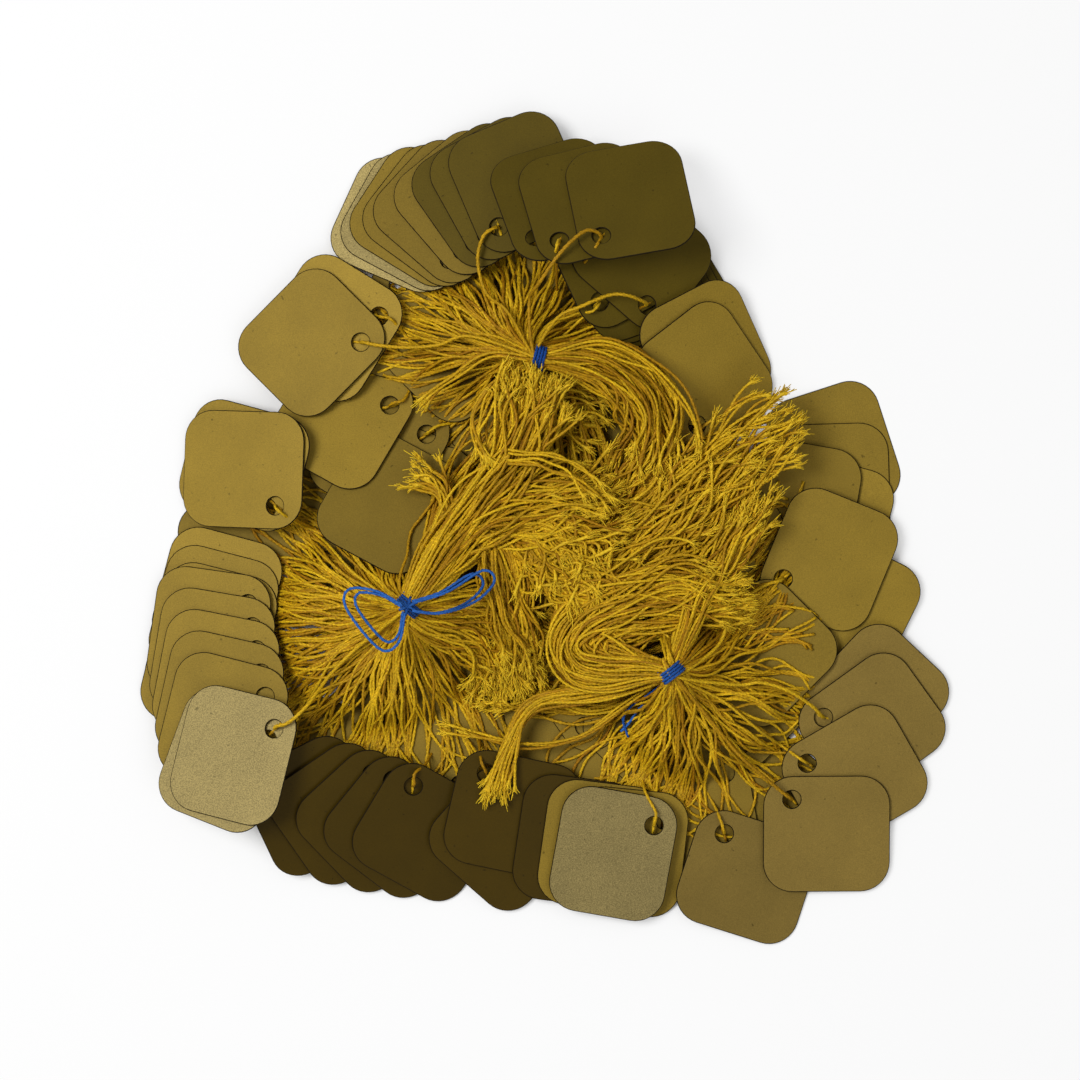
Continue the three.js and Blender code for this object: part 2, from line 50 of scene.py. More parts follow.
# every joint's place is its tag's hole, and one known hole gives the shift of the layout
anchors = {joint["child"]: joint for joint in frame["joints"]}
layoutHole = Vector((11.3, 55.9)) * mm
layoutShift = Vector(anchors["front_top_tag"]["pos_m"]).xy - layoutHole


def spot(x, y):
    return np.array((x * mm + layoutShift.x, y * mm + layoutShift.y))


def laidOut(rows):
    # rows of x, y, height and sizes in mm, as places in the heap
    return np.array([(*spot(x, y), *(np.array(rest) * mm)) for x, y, *rest in rows])


def solidOf(node):
    return frame["nodes"][node].data


def placed(name, data):
    holder = bpy.data.objects.new(name, data)
    bpy.context.collection.objects.link(holder)
    return holder


def meshFrom(bm, name):
    mesh = bpy.data.meshes.new(name)
    bm.to_mesh(mesh)
    bm.free()
    return mesh


def addNode(tree, kind, sockets, **settings):
    # a node with its settings, and with numbers, colours or links on its inputs
    node = tree.nodes.new("ShaderNode" + kind)
    for setting, value in settings.items():
        setattr(node, setting, value)
    for socket, value in sockets.items():
        if isinstance(value, bpy.types.NodeSocket):
            tree.links.new(value, node.inputs[socket])
        else:
            node.inputs[socket].default_value = value
    return node


def addRange(tree, value, lowIn, highIn, lowOut, highOut):
    sockets = {"Value": value, "From Min": lowIn, "From Max": highIn, "To Min": lowOut, "To Max": highOut}
    return addNode(tree, "MapRange", sockets).outputs["Result"]


# the stage: camera, lamps and floor
view = {"distance": 0.72, "width": 0.2025, "focusHeight": 0.006, "sensor": 36.0}


def makeStage():
    camera = bpy.data.cameras.new("camera")
    camera.lens = view["sensor"] * view["distance"] / view["width"]
    camera.sensor_width = view["sensor"]
    camera.clip_end = 20
    holder = placed("camera", camera)
    holder.location = (*spot(0, 0), view["focusHeight"] + view["distance"])
    bpy.context.scene.camera = holder


makeStage()

lamps = {
    "key": {"at": (-0.34, 0.10, 0.66), "size": 0.34, "power": 4.1},
    "fill": {"at": (0.30, -0.42, 0.60), "size": 0.6, "power": 1.0},
}


def makeLamps():
    for name, lamp in lamps.items():
        data = bpy.data.lights.new(name, "AREA")
        data.shape = "DISK"
        data.size = lamp["size"]
        data.energy = lamp["power"]
        holder = placed(name, data)
        holder.location = lamp["at"]
        holder.rotation_euler = (-Vector(lamp["at"])).to_track_quat("-Z", "Y").to_euler()
    world = bpy.data.worlds.new("room")
    world.use_nodes = True
    bpy.context.scene.world = world
    background = world.node_tree.nodes["Background"]
    background.inputs["Color"].default_value = (1, 1, 1, 1)
    background.inputs["Strength"].default_value = 0.3


makeLamps()
bpy.context.scene.view_settings.view_transform = "Standard"

# the floor shows white to the camera, but for the shade close to the heap
floorLook = {
    "size": 6.0, "colour": (0.9, 0.9, 0.9, 1), "roughness": 0.9,
    "glow": 0.72, "crevice": 0.014, "shaded": 0.35, "clear": 0.85,
}


def makeFloor():
    bm = bmesh.new()
    bmesh.ops.create_grid(bm, x_segments=1, y_segments=1, size=floorLook["size"] / 2)
    floor = placed("floor", meshFrom(bm, "floor"))
    material = bpy.data.materials.new("paleFloor")
    material.use_nodes = True
    tree = material.node_tree
    shader = tree.nodes["Principled BSDF"]
    shader.inputs["Base Color"].default_value = floorLook["colour"]
    shader.inputs["Roughness"].default_value = floorLook["roughness"]
    glow = addNode(tree, "Emission", {"Strength": 1.0})
    seen = addNode(tree, "LightPath", {}).outputs["Is Camera Ray"]
    nearby = addNode(tree, "AmbientOcclusion", {"Distance": floorLook["crevice"]}, samples=8)
    shaded, clear = floorLook["shaded"], floorLook["clear"]
    bright = addRange(tree, nearby.outputs["AO"], shaded, clear, 0, floorLook["glow"])
    share = addNode(tree, "Math", {0: seen, 1: bright}, operation="MULTIPLY")
    mix = addNode(tree, "MixShader", {0: share.outputs[0], 1: shader.outputs[0], 2: glow.outputs[0]})
    tree.links.new(mix.outputs[0], tree.nodes["Material Output"].inputs["Surface"])
    floor.data.materials.append(material)


makeFloor()
print("stage made")


# the finishes of card, cotton and thread
def newGroup(name, inputs, outputs):
    group = bpy.data.node_groups.new(name, "ShaderNodeTree")
    for label, kind, value in inputs:
        socket = group.interface.new_socket(label, in_out="INPUT", socket_type=kind)
        socket.default_value = value
    for label, kind in outputs:
        group.interface.new_socket(label, in_out="OUTPUT", socket_type=kind)
    return group, group.nodes.new("NodeGroupInput"), group.nodes.new("NodeGroupOutput")


def addNoise(group, scaleFrom, times, detail, coords):
    scale = addNode(group, "Math", {0: scaleFrom, 1: times}, operation="MULTIPLY")
    sockets = {"Vector": coords, "Scale": scale.outputs[0], "Detail": detail}
    return addNode(group, "TexNoise", sockets).outputs["Fac"]


def addMix(group, share, first, second, blend="MIX"):
    sockets = {0: share, 6: first, 7: second}
    return addNode(group, "Mix", sockets, data_type="RGBA", blend_type=blend).outputs[2]


def addAttribute(group, name):
    return addNode(group, "Attribute", {}, attribute_name=name).outputs["Fac"]


def addProduct(group, colour, factor):
    return addNode(group, "VectorMath", {0: colour, "Scale": factor}, operation="SCALE").outputs[0]


def makeSpeckleGroup():
    # printed metal ink: fine grain, faint clouds, and sparse dark flecks, with the grain on the pale copy
    # as painted glitter
    group, start, end = newGroup(
        "inkSpeckle",
        [
            ("Colour", "NodeSocketColor", (0.3, 0.22, 0.04, 1)),
            ("Grain", "NodeSocketFloat", 0.3),
            ("Grain size", "NodeSocketFloat", 5200.0),
        ],
        [("Colour", "NodeSocketColor"), ("Height", "NodeSocketFloat")],
    )
    coords = addNode(group, "TexCoord", {}).outputs["Object"]
    tone = addAttribute(group, "tone")
    grain = addNoise(group, start.outputs["Grain size"], 1.0, 2.0, coords)
    cloud = addNoise(group, start.outputs["Grain size"], 0.02, 3.0, coords)
    fleck = addNoise(group, start.outputs["Grain size"], 0.22, 1.0, coords)
    # the tone scales the colour: painted shade and painted light for the tags and packets, a random
    # difference for the deep cards
    shade = addRange(group, tone, 0.0, 1.0, 0.7, 1.3)
    toned = addMix(group, 1.0, start.outputs["Colour"], shade, "MULTIPLY")
    grey = addRange(group, grain, 0.34, 0.66, 0.55, 1.5)
    grained = addMix(group, start.outputs["Grain"], toned, addProduct(group, toned, grey))
    cloudy = addProduct(group, grained, addRange(group, cloud, 0.3, 0.7, 0.93, 1.07))
    flecked = addProduct(group, cloudy, addRange(group, fleck, 0.2, 0.27, 0.55, 1.0))
    group.links.new(flecked, end.inputs["Colour"])
    group.links.new(grain, end.inputs["Height"])
    return group


def makeFibreGroup():
    # plied cotton: each strand has its own tone, with fine fibres along it, painted shade in the grooves
    # between the plies, and pale frayed ends
    group, start, end = newGroup(
        "fibreMottle",
        [
            ("Deep", "NodeSocketColor", (0.4, 0.22, 0.01, 1)),
            ("Light", "NodeSocketColor", (0.7, 0.46, 0.05, 1)),
            ("Frayed", "NodeSocketColor", (0.8, 0.6, 0.15, 1)),
            ("Fibre size", "NodeSocketFloat", 2600.0),
        ],
        [("Colour", "NodeSocketColor"), ("Height", "NodeSocketFloat")],
    )
    coords = addNode(group, "TexCoord", {}).outputs["Object"]
    tone = addAttribute(group, "tone")
    tip = addAttribute(group, "tip")
    fibre = addNoise(group, start.outputs["Fibre size"], 1.0, 3.0, coords)
    stretch = addNoise(group, start.outputs["Fibre size"], 0.12, 2.0, coords)
    body = addMix(group, tone, start.outputs["Deep"], start.outputs["Light"])
    mottled = addProduct(group, body, addRange(group, fibre, 0.3, 0.7, 0.72, 1.25))
    shaded = addProduct(group, mottled, addRange(group, stretch, 0.3, 0.7, 0.86, 1.12))
    plyShaded = addProduct(group, shaded, addRange(group, addAttribute(group, "plyShade"), 0.0, 1.0, 0.76, 1.1))
    ended = addMix(group, tip, plyShaded, start.outputs["Frayed"])
    group.links.new(ended, end.inputs["Colour"])
    group.links.new(fibre, end.inputs["Height"])
    return group


speckleGroup = makeSpeckleGroup()
fibreGroup = makeFibreGroup()


def makeFinish(name, group, values, roughness, metallic, bump, bumpDepth, gloss=0.12):
    material = bpy.data.materials.new(name)
    material.use_nodes = True
    tree = material.node_tree
    shader = tree.nodes["Principled BSDF"]
    shader.inputs["Roughness"].default_value = roughness
    shader.inputs["Metallic"].default_value = metallic
    shader.inputs["Specular IOR Level"].default_value = gloss
    node = addNode(tree, "Group", values, node_tree=group)
    tree.links.new(node.outputs["Colour"], shader.inputs["Base Color"])
    relief = {"Strength": bump, "Distance": bumpDepth, "Height": node.outputs["Height"]}
    tree.links.new(addNode(tree, "Bump", relief).outputs["Normal"], shader.inputs["Normal"])
    return material


def srgb(red, green, blue):
    linear = [((c / 255 + 0.055) / 1.055) ** 2.4 if c > 10 else c / 3295 for c in (red, green, blue)]
    return (*linear, 1)


# deep, dark, mid and pale are lit and shaded copies of one card ink, painted shade and painted light for
# how each tilted tag faces the lamps; umber is a browner copy of mid, and the strong Grain of the pale copy
# is painted glitter
paintedShadeLooks = {
    "deep": {"Colour": srgb(67, 51, 2), "Grain": 0.2},
    "dark": {"Colour": srgb(87, 72, 14), "Grain": 0.22},
    "mid": {"Colour": srgb(142, 117, 40), "Grain": 0.28},
    "umber": {"Colour": srgb(136, 113, 52), "Grain": 0.3},
    "pale": {"Colour": srgb(150, 133, 82), "Grain": 0.7},
}
cardFaces = {
    look: makeFinish(look + "Card", speckleGroup, values, 0.55, 0.15, 0.25, 0.00003)
    for look, values in paintedShadeLooks.items()
}
# the card's cut edge, its dark colour also painted contact shadow between stacked cards
cardEdgeAndShadow = makeFinish(
    "cardEdgeAndShadow", speckleGroup, {"Colour": srgb(28, 20, 4), "Grain": 0.6}, 0.8, 0.0, 0.4, 0.00005
)
cotton = makeFinish(
    "goldenCotton",
    fibreGroup,
    {"Deep": srgb(158, 110, 2), "Light": srgb(222, 180, 24), "Frayed": srgb(240, 203, 44)},
    0.62, 0.0, 0.5, 0.00008, 0.18,
)
blueThread = makeFinish(
    "blueThread",
    fibreGroup,
    {"Deep": srgb(20, 62, 136), "Light": srgb(52, 108, 188), "Frayed": srgb(80, 130, 200)},
    0.7, 0.0, 0.4, 0.00006,
)
print("finishes made")


# strands, made as curves and then turned into closed tubes
stringSize = {
    "diameter": 0.66, "cord": 0.8, "thread": 0.62, "fibre": 0.19,
    "step": 0.8, "twist": 0.95, "lobe": 0.86, "sides": 6,
}


def evenly(points, step):
    # a smooth curve through the points, in even steps
    points = np.asarray(points, float)
    padded = np.vstack([2 * points[0] - points[1], points, 2 * points[-1] - points[-2]])
    fine = []
    for k in range(len(points) - 1):
        p0, p1, p2, p3 = padded[k:k + 4]
        for t in np.linspace(0, 1, 10, endpoint=False):
            fine.append(0.5 * (2 * p1 + (p2 - p0) * t + (2 * p0 - 5 * p1 + 4 * p2 - p3) * t * t
                               + (3 * p1 - p0 - 3 * p2 + p3) * t ** 3))
    fine = np.array(fine + [points[-1]])
    steps = np.linalg.norm(np.diff(fine[:, :3], axis=0), axis=1)
    lengths = np.concatenate([[0], np.cumsum(steps)])
    count = max(4, int(lengths[-1] / step) + 1)
    at = np.linspace(0, lengths[-1], count)
    return np.column_stack([np.interp(at, lengths, fine[:, k]) for k in range(fine.shape[1])])


def smoothed(heights, passes):
    for _ in range(passes):
        padded = np.concatenate([[heights[0]], heights, [heights[-1]]])
        heights = (padded[:-2] + padded[1:-1] * 2 + padded[2:]) / 4
    return heights


def wander(count, reach, waves):
    # a soft sideways drift along a strand
    t = np.linspace(0, 1, count)
    drift = np.zeros(count)
    for k in range(1, 4):
        turns = k * waves * t * chance.uniform(0.7, 1.3) + chance.random()
        drift += math.sqrt(1 / k) * np.sin(math.tau * turns)
    return drift * reach * 0.5


def sideOf(plan):
    run = np.gradient(plan, axis=0)
    run /= np.maximum(np.linalg.norm(run, axis=1), 1e-9)[:, None]
    return np.column_stack([-run[:, 1], run[:, 0]])


def profileCurve(name, radius, lobe, sides):
    data = bpy.data.curves.new(name, "CURVE")
    data.dimensions = "2D"
    spline = data.splines.new("POLY")
    spline.points.add(sides - 1)
    for i, point in enumerate(spline.points):
        reach = radius * (1 if i % 2 == 0 else lobe)
        angle = math.tau * i / sides
        point.co = (reach * math.cos(angle), reach * math.sin(angle), 0, 1)
    spline.use_cyclic_u = True
    return placed(name, data)


def strandsMesh(name, strands, profile, twist):
    # each strand is {"points", "tone", "tip" per point, "radius" per point}
    sides = len(profile.data.splines[0].points)
    data = bpy.data.curves.new(name, "CURVE")
    data.dimensions = "3D"
    data.bevel_mode = "OBJECT"
    data.bevel_object = profile
    data.use_fill_caps = False
    for strand in strands:
        points = strand["points"]
        spline = data.splines.new("POLY")
        spline.points.add(len(points) - 1)
        spline.points.foreach_set("co", np.column_stack([points, np.ones(len(points))]).ravel())
        spline.points.foreach_set("tilt", np.arange(len(points)) * twist + strand.get("phase", 0))
        radii = np.broadcast_to(strand.get("radius", 1.0), len(points))
        spline.points.foreach_set("radius", radii.astype(float))
    holder = placed(name, data)
    shape = holder.evaluated_get(bpy.context.evaluated_depsgraph_get())
    mesh = bpy.data.meshes.new_from_object(shape)
    bpy.data.objects.remove(holder)
    bpy.data.curves.remove(data)
    bm = bmesh.new()
    bm.from_mesh(mesh)
    bmesh.ops.holes_fill(bm, edges=[edge for edge in bm.edges if edge.is_boundary], sides=sides)
    bmesh.ops.recalc_face_normals(bm, faces=bm.faces[:])
    bm.to_mesh(mesh)
    bm.free()
    for label in ("tone", "tip"):
        values = []
        for strand in strands:
            value = strand.get(label, 0.0)
            values.append(np.repeat(np.broadcast_to(value, len(strand["points"])), sides))
        values = np.concatenate(values)
        if len(values) != len(mesh.vertices):
            raise ValueError(f"{name}: {len(mesh.vertices)} points for {len(values)} values")
        attribute = mesh.attributes.new(label, "FLOAT", "POINT")
        attribute.data.foreach_set("value", values.astype(np.float32))
    # the plies stand out on every other side, with painted shade on the sides between them, and a fine
    # fibre has none
    crests = [1.0 if i % 2 == 0 or sides < 6 else 0.0 for i in range(sides)]
    plyShade = mesh.attributes.new("plyShade", "FLOAT", "POINT")
    plyShade.data.foreach_set("value", np.tile(crests, len(mesh.vertices) // sides).astype(np.float32))
    mesh.polygons.foreach_set("use_smooth", [True] * len(mesh.polygons))
    mesh.materials.clear()
    return mesh


def strandsPiece(name, strands, profile, material, twist=stringSize["twist"]):
    mesh = strandsMesh(name, strands, profile, twist)
    mesh.name = name
    mesh.materials.append(material)
    piece = placed(name, mesh)
    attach(piece, "heap")
    return piece


stringRadius, cordRadius, threadRadius, fibreRadius = (
    stringSize[kind] / 2 * mm for kind in ("diameter", "cord", "thread", "fibre")
)
stringProfile = profileCurve("stringProfile", stringRadius, stringSize["lobe"], stringSize["sides"])
cordProfile = profileCurve("cordProfile", cordRadius, stringSize["lobe"], stringSize["sides"])
threadProfile = profileCurve("threadProfile", threadRadius, stringSize["lobe"], stringSize["sides"])
fibreProfile = profileCurve("fibreProfile", fibreRadius, 1, 3)


def strandOf(points):
    # no strand sinks into the table, and each has its own tone
    points[:, 2] = np.maximum(points[:, 2], stringRadius)
    return {"points": points, "tone": chance.random() ** 0.8, "phase": chance.random() * 6}


# where each tag hangs, and where each bundle is tied
cardSize = {
    "length": 24.0, "width": 22.0, "thickness": 0.4, "corner": 5.6, "cornerSteps": 9,
    "hole": 3.4, "holeSteps": 24, "holeToEnd": 5.4, "holeToSide": 4.4, "edge": 0.15,
}


def tagFrame(node):
    # the hinge is the hole's axis, and the outline's reach from the hole gives the turn about it
    joint = anchors[node]
    hole = Vector(joint["pos_m"])
    normal = Vector(joint["axis"]).normalized()
    points = np.array([v.co for v in solidOf(node).vertices], float) - np.array(hole)
    middle = Vector(points.mean(0))
    first = (middle + normal.cross(middle)).normalized()
    first = (first - normal * normal.dot(first)).normalized()
    second = normal.cross(first)
    reach = np.array((
        -cardSize["holeToEnd"], cardSize["length"] - cardSize["holeToEnd"],
        cardSize["holeToSide"] - cardSize["width"], cardSize["holeToSide"],
    )) * mm
    turns = np.arange(-0.5, 0.5, 0.0005)[:, None]
    x, y = points @ np.array(first), points @ np.array(second)
    along = x * np.cos(turns) + y * np.sin(turns)
    across = y * np.cos(turns) - x * np.sin(turns)
    found = np.column_stack([along.min(1), along.max(1), across.min(1), across.max(1)])
    turn = float(turns[np.abs(found - reach).sum(1).argmin(), 0])
    along = first * math.cos(turn) + second * math.sin(turn)
    axes = Matrix((along, normal.cross(along), normal)).transposed().to_4x4()
    return Matrix.Translation(hole) @ axes


tagFrames = {node: tagFrame(node) for node in anchors}

# bundles: tie, where the neck comes up out of the fan, the fan's dome, and which tags hang on it
bundles = {
    "top": {
        "tie": (0, 33.6), "neckFrom": (-8, 36), "centre": (-4, 38), "half": (21, 12.5), "neck": 3.0,
        "strands": 230, "curl": 0.36, "pull": 8,
        "tags": ("top_fan", "back", "front", "west", "top_packet", "middle_tag_1"),
    },
    "left": {
        "tie": (-24.3, -12.2), "neckFrom": (-30, -18), "centre": (-30, -16), "half": (19.6, 19.5),
        "neck": 3.6, "strands": 290, "curl": 0.5, "pull": 4,
        "tags": ("middle_tag_2", "left", "upper_left", "bottom"),
    },
    "right": {
        "tie": (24.4, -24.4), "neckFrom": (29, -31), "centre": (30, -30), "half": (17, 15), "neck": 3.2,
        "strands": 200, "curl": 0.8, "pull": 4,
        "tags": ("inner", "lower", "upper_right", "right", "corner"),
    },
}
fanShape = {
    "height": 9.0, "drop": 13.0,
    "shares": (0, 0.4, 0.78, 0.96, 1.0), "heights": (1, 1, 0.84, 0.5, 0.12),
}
neckLook = {"radius": 1.45, "over": 1.88}


def neckOf(bundle):
    tie = spot(*bundle["tie"])
    way = tie - spot(*bundle["neckFrom"])
    way /= np.linalg.norm(way)
    height = (fanShape["height"] + neckLook["over"] + bundle["neck"]) * mm
    return tie, way, height


def treeOf(parts):
    # one search tree of meshes, each given with its place
    points, faces = [], []
    for mesh, place in parts:
        start = len(points)
        points += [place @ v.co for v in mesh.vertices]
        faces += [[start + i for i in face.vertices] for face in mesh.polygons]
    return BVHTree.FromPolygons(points, faces)


def sweptParts():
    # the cards at rest and at both ends of their swing
    parts = []
    for node in (*anchors, *packets):
        parts.append((solidOf(node), Matrix()))
        if node in anchors:
            hole, axis = Vector(anchors[node]["pos_m"]), Vector(anchors[node]["axis"])
            for angle in anchors[node]["range_deg"]:
                swing = Matrix.Rotation(math.radians(angle), 4, axis)
                swing = Matrix.Translation(hole) @ swing @ Matrix.Translation(-hole)
                parts.append((solidOf(node), swing))
    return parts


def surfaceAt(tree, x, y, above=True):
    # the height of the highest surface at a place, or of the lowest one
    start, way = (0.1, -1) if above else (-0.01, 1)
    hit = tree.ray_cast(Vector((x, y, start)), Vector((0, 0, way)))[0]
    return hit.z if hit else None


def topsAt(node, points, around):
    # the highest of the node's surface close to each point, or nothing where it isn't below
    tree, tops = treeOf([(solidOf(node), Matrix())]), []
    for x, y in points[:, :2]:
        hits = [surfaceAt(tree, x + dx * around, y + dy * around) for dx in (-1, 0, 1) for dy in (-1, 0, 1)]
        tops.append(max((hit for hit in hits if hit is not None), default=math.nan))
    return np.array(tops)


def intoHole(node, toward, reaches):
    # points that come over the rim and down into the hole, as (reach, rise) from the hole's middle
    matrix = tagFrames[node]
    inCard = matrix.inverted() @ Vector((*toward, matrix.translation.z))
    inCard.z = 0
    inCard.normalize()
    return [np.array(matrix @ (inCard * reach * mm + Vector((0, 0, rise * mm)))) for reach, rise in reaches]


# cords: single strings from a tie, over the tags, into a hole that shows
cordRoutes = {
    "top_fan_tag_4": ("top", ((-6, 42.5), (-10, 46), (-11.6, 52), (-10.6, 56.6))),
    "front_top_tag": ("top", ((-2, 44), (0, 47.5), (4, 53), (8, 56.6))),
    "back_tag_2": ("top", ((3, 41), (8, 43.5), (13, 45.5), (16.4, 45.4))),
    "west_top_tag": ("top", ((-13, 38), (-19, 36.4), (-25, 36), (-30, 36.4))),
    "left_top_tag_2": ("left", ((-34, -20), (-39, -25), (-43, -30.5), (-46.6, -33.8))),
    "right_top_tag": ("right", ((33, -20), (35.5, -14.5), (39, -10.5), (42.6, -8.4))),
    "corner_tag_2": ("right", ((36.5, -27), (41, -26.6), (46, -28), (50.8, -31))),
    "corner_top_tag": ("right", ((34.5, -37), (37.5, -40.5), (41, -43.6), (44.8, -46.8))),
}
cordEnd = ((1.0, 1.5), (0.15, 0.4), (0.1, -0.7), (1.6, -1.3), (4.5, -1.6))
for node, (bundleName, route) in cordRoutes.items():
    tie, way, height = neckOf(bundles[bundleName])
    laid = np.array([spot(x, y) for x, y in route])
    over = topsAt(node + "_string", laid, 0.3 * mm) - cordRadius
    start = [(*(tie + way * 3 * mm), height + 1.2 * mm), (*(tie - way * 1 * mm), height + 1.6 * mm)]
    ends = intoHole(node, laid[-1], cordEnd)
    points = evenly(np.vstack([start, np.column_stack([laid, over]), ends]), 0.6 * mm)
    points[:, 2] = np.maximum(points[:, 2], cordRadius)
    piece = strandsPiece(node + "_cord", [strandOf(points)], cordProfile, cotton)
    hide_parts(node + "_string")
print("cords made:", len(cordRoutes))


# single tags
def cardTemplate(name, thickness):
    # the hole's middle is the origin, the long side runs along x, and the underside lies at z = 0
    size = cardSize
    bm = bmesh.new()
    left, right = -size["holeToEnd"], size["length"] - size["holeToEnd"]
    top, bottom = size["holeToSide"], size["holeToSide"] - size["width"]
    outline = ((left, bottom), (right, bottom), (right, top), (left, top))
    bm.faces.new([bm.verts.new((x, y, 0)) for x, y in outline])
    bmesh.ops.bevel(
        bm, geom=bm.verts[:], offset=size["corner"], offset_type="OFFSET", segments=size["cornerSteps"],
        profile=0.5, affect="VERTICES", material=-1,
    )
    bmesh.ops.delete(bm, geom=bm.faces[:], context="FACES_ONLY")
    bmesh.ops.create_circle(bm, cap_ends=False, radius=size["hole"] / 2, segments=size["holeSteps"])
    bmesh.ops.triangle_fill(bm, use_beauty=True, use_dissolve=False, edges=bm.edges[:], normal=(0, 0, 1))
    for face in bm.faces:
        if face.normal.z < 0:
            face.normal_flip()
    raised = bmesh.ops.extrude_face_region(bm, geom=bm.faces[:], use_keep_orig=True)
    lifted = [v for v in raised["geom"] if isinstance(v, bmesh.types.BMVert)]
    bmesh.ops.translate(bm, verts=lifted, vec=(0, 0, thickness))
    bmesh.ops.recalc_face_normals(bm, faces=bm.faces[:])
    rims = [e for e in bm.edges if len(e.link_faces) == 2 and e.calc_face_angle() > 1.2]
    bmesh.ops.bevel(
        bm, geom=rims, offset=size["edge"], segments=1, profile=0.5, affect="EDGES", material=-1,
    )
    for face in bm.faces:
        face.material_index = 0 if abs(face.normal.z) > 0.9 else 1
    bmesh.ops.scale(bm, vec=(mm, mm, mm), verts=bm.verts[:])
    return meshFrom(bm, name)


def cardsPiece(name, template, frames, tones, looks):
    # one look, or a list of looks from the lowest card to the highest
    looks = [looks] if isinstance(looks, str) else looks
    bm = bmesh.new()
    for i, matrix in enumerate(frames):
        before, facesBefore = len(bm.verts), len(bm.faces)
        bm.from_mesh(template)
        bm.verts.ensure_lookup_table()
        bm.faces.ensure_lookup_table()
        bmesh.ops.transform(bm, matrix=matrix, verts=bm.verts[before:])
        look = i * len(looks) // len(frames)
        for face in bm.faces[facesBefore:]:
            face.material_index = look + 1 if face.material_index == 0 else 0
    mesh = meshFrom(bm, name)
    tone = mesh.attributes.new("tone", "FLOAT", "POINT")
    tone.data.foreach_set("value", np.repeat(tones, len(template.vertices)).astype(np.float32))
    mesh.materials.append(cardEdgeAndShadow)
    for look in looks:
        mesh.materials.append(cardFaces[look])
    piece = placed(name, mesh)
    return piece


singleCard = cardTemplate("singleCard", cardSize["thickness"])
# the painted shade copy and its tone for the tags whose names start so: dark and deep ones tilt away from
# the lamps, pale ones face them
tagPaintedShades = {
    "front": ("dark", 0.44), "top_fan_tag_1": ("mid", 0.0), "top_fan": ("dark", 0.56),
    "back": ("dark", 0.56), "bottom_dark": ("deep", 0.56), "bottom": ("deep", 0.44),
    "left_top": ("pale", 0.4), "lower_top": ("pale", 0.15), "west_top": ("mid", 0.36),
    "west": ("mid", 0.62), "upper_left": ("mid", 0.42), "left": ("mid", 0.3), "middle": ("mid", 0.0),
    "inner": ("umber", 0.2), "lower": ("umber", 0.12), "upper_right": ("mid", 0.52),
    "right": ("mid", 0.46), "corner": ("umber", 0.32),
}


def paintedShadeOf(node):
    names = [name for name in tagPaintedShades if node.startswith(name)]
    return tagPaintedShades[max(names, key=len)]


for node, matrix in tagFrames.items():
    look, tone = paintedShadeOf(node)
    tone += chance.uniform(-0.08, 0.08)
    piece = cardsPiece(node + "_card", singleCard, [matrix], [tone], look)
    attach(piece, node)
    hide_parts(node)
print("tags made:", len(tagFrames))

# packets: where the first and the last card lie, as hole x, hole y and turn
# a packet's looks and tones are painted shade and painted light, from its lowest card to its highest
packets = {
    "top_packet": {
        "from": (-22.5, 50.8, 156), "to": (-17, 52.6, 138), "total": 1.48,
        "looks": ("pale", "pale", "mid", "mid", "mid"), "tones": (0.95, 0.5, 0.25, 0.1, 0.0),
    },
    "back_packet": {"from": (20.6, 39.6, 124), "to": (13.4, 42.2, 110), "total": 1.48, "looks": ("dark",)},
    "left_packet": {"from": (-52.9, -6, 255), "to": (-55.1, -18.8, 256), "total": 1.48},
    "lower_packet": {
        "from": (14.1, -51, 262), "to": (23.6, -52.9, 264), "total": 1.12, "looks": ("deep", "mid", "mid"),
    },
    "right_packet": {"from": (51.2, 8.4, 108), "to": (46.3, -1.7, 75), "total": 1.12},
}
packetCard = {"thickness": 0.24, "pitch": 0.3, "slip": 0.25, "twist": 0.6}
holeToMiddle = 9.3
thinCard = cardTemplate("thinCard", packetCard["thickness"])


def packetPlane(node):
    # which way the packet's top faces, and how far down its underside is
    normal = Vector((0, 0, 0))
    for face in solidOf(node).polygons:
        if face.normal.z > 0.7:
            normal += face.normal * face.area
    normal.normalize()
    return normal, min(normal.dot(v.co) for v in solidOf(node).vertices)


def onPlane(normal, base, x, y, turn):
    place = spot(x, y)
    height = (base - normal.x * place[0] - normal.y * place[1]) / normal.z
    along = Vector((math.cos(math.radians(turn)), math.sin(math.radians(turn)), 0))
    along = (along - normal * along.dot(normal)).normalized()
    across = normal.cross(along)
    turned = Matrix((along, across, normal)).transposed().to_4x4()
    return Matrix.Translation((place[0], place[1], height)) @ turned


for node, packet in packets.items():
    normal, base = packetPlane(node)
    count = 1 + int((packet["total"] - packetCard["thickness"]) / packetCard["pitch"] + 0.01)
    frames, tones = [], []
    looks = packet.get("looks", ("mid",))
    for i in range(count):
        share = i / (count - 1)
        x, y, turn = (a + (b - a) * share for a, b in zip(packet["from"], packet["to"]))
        if 0 < i < count - 1:
            x += chance.uniform(-1, 1) * packetCard["slip"]
            y += chance.uniform(-1, 1) * packetCard["slip"]
            turn += chance.uniform(-1, 1) * packetCard["twist"]
        frames.append(onPlane(normal, base + i * packetCard["pitch"] * mm, x, y, turn))
        tones.append(packet["tones"][i] if "tones" in packet else 0.44 + chance.uniform(-0.15, 0.15))
    piece = cardsPiece(node + "_cards", thinCard, frames, tones, looks)
    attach(piece, "heap")
    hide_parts(node)
print("packets made:", len(packets))

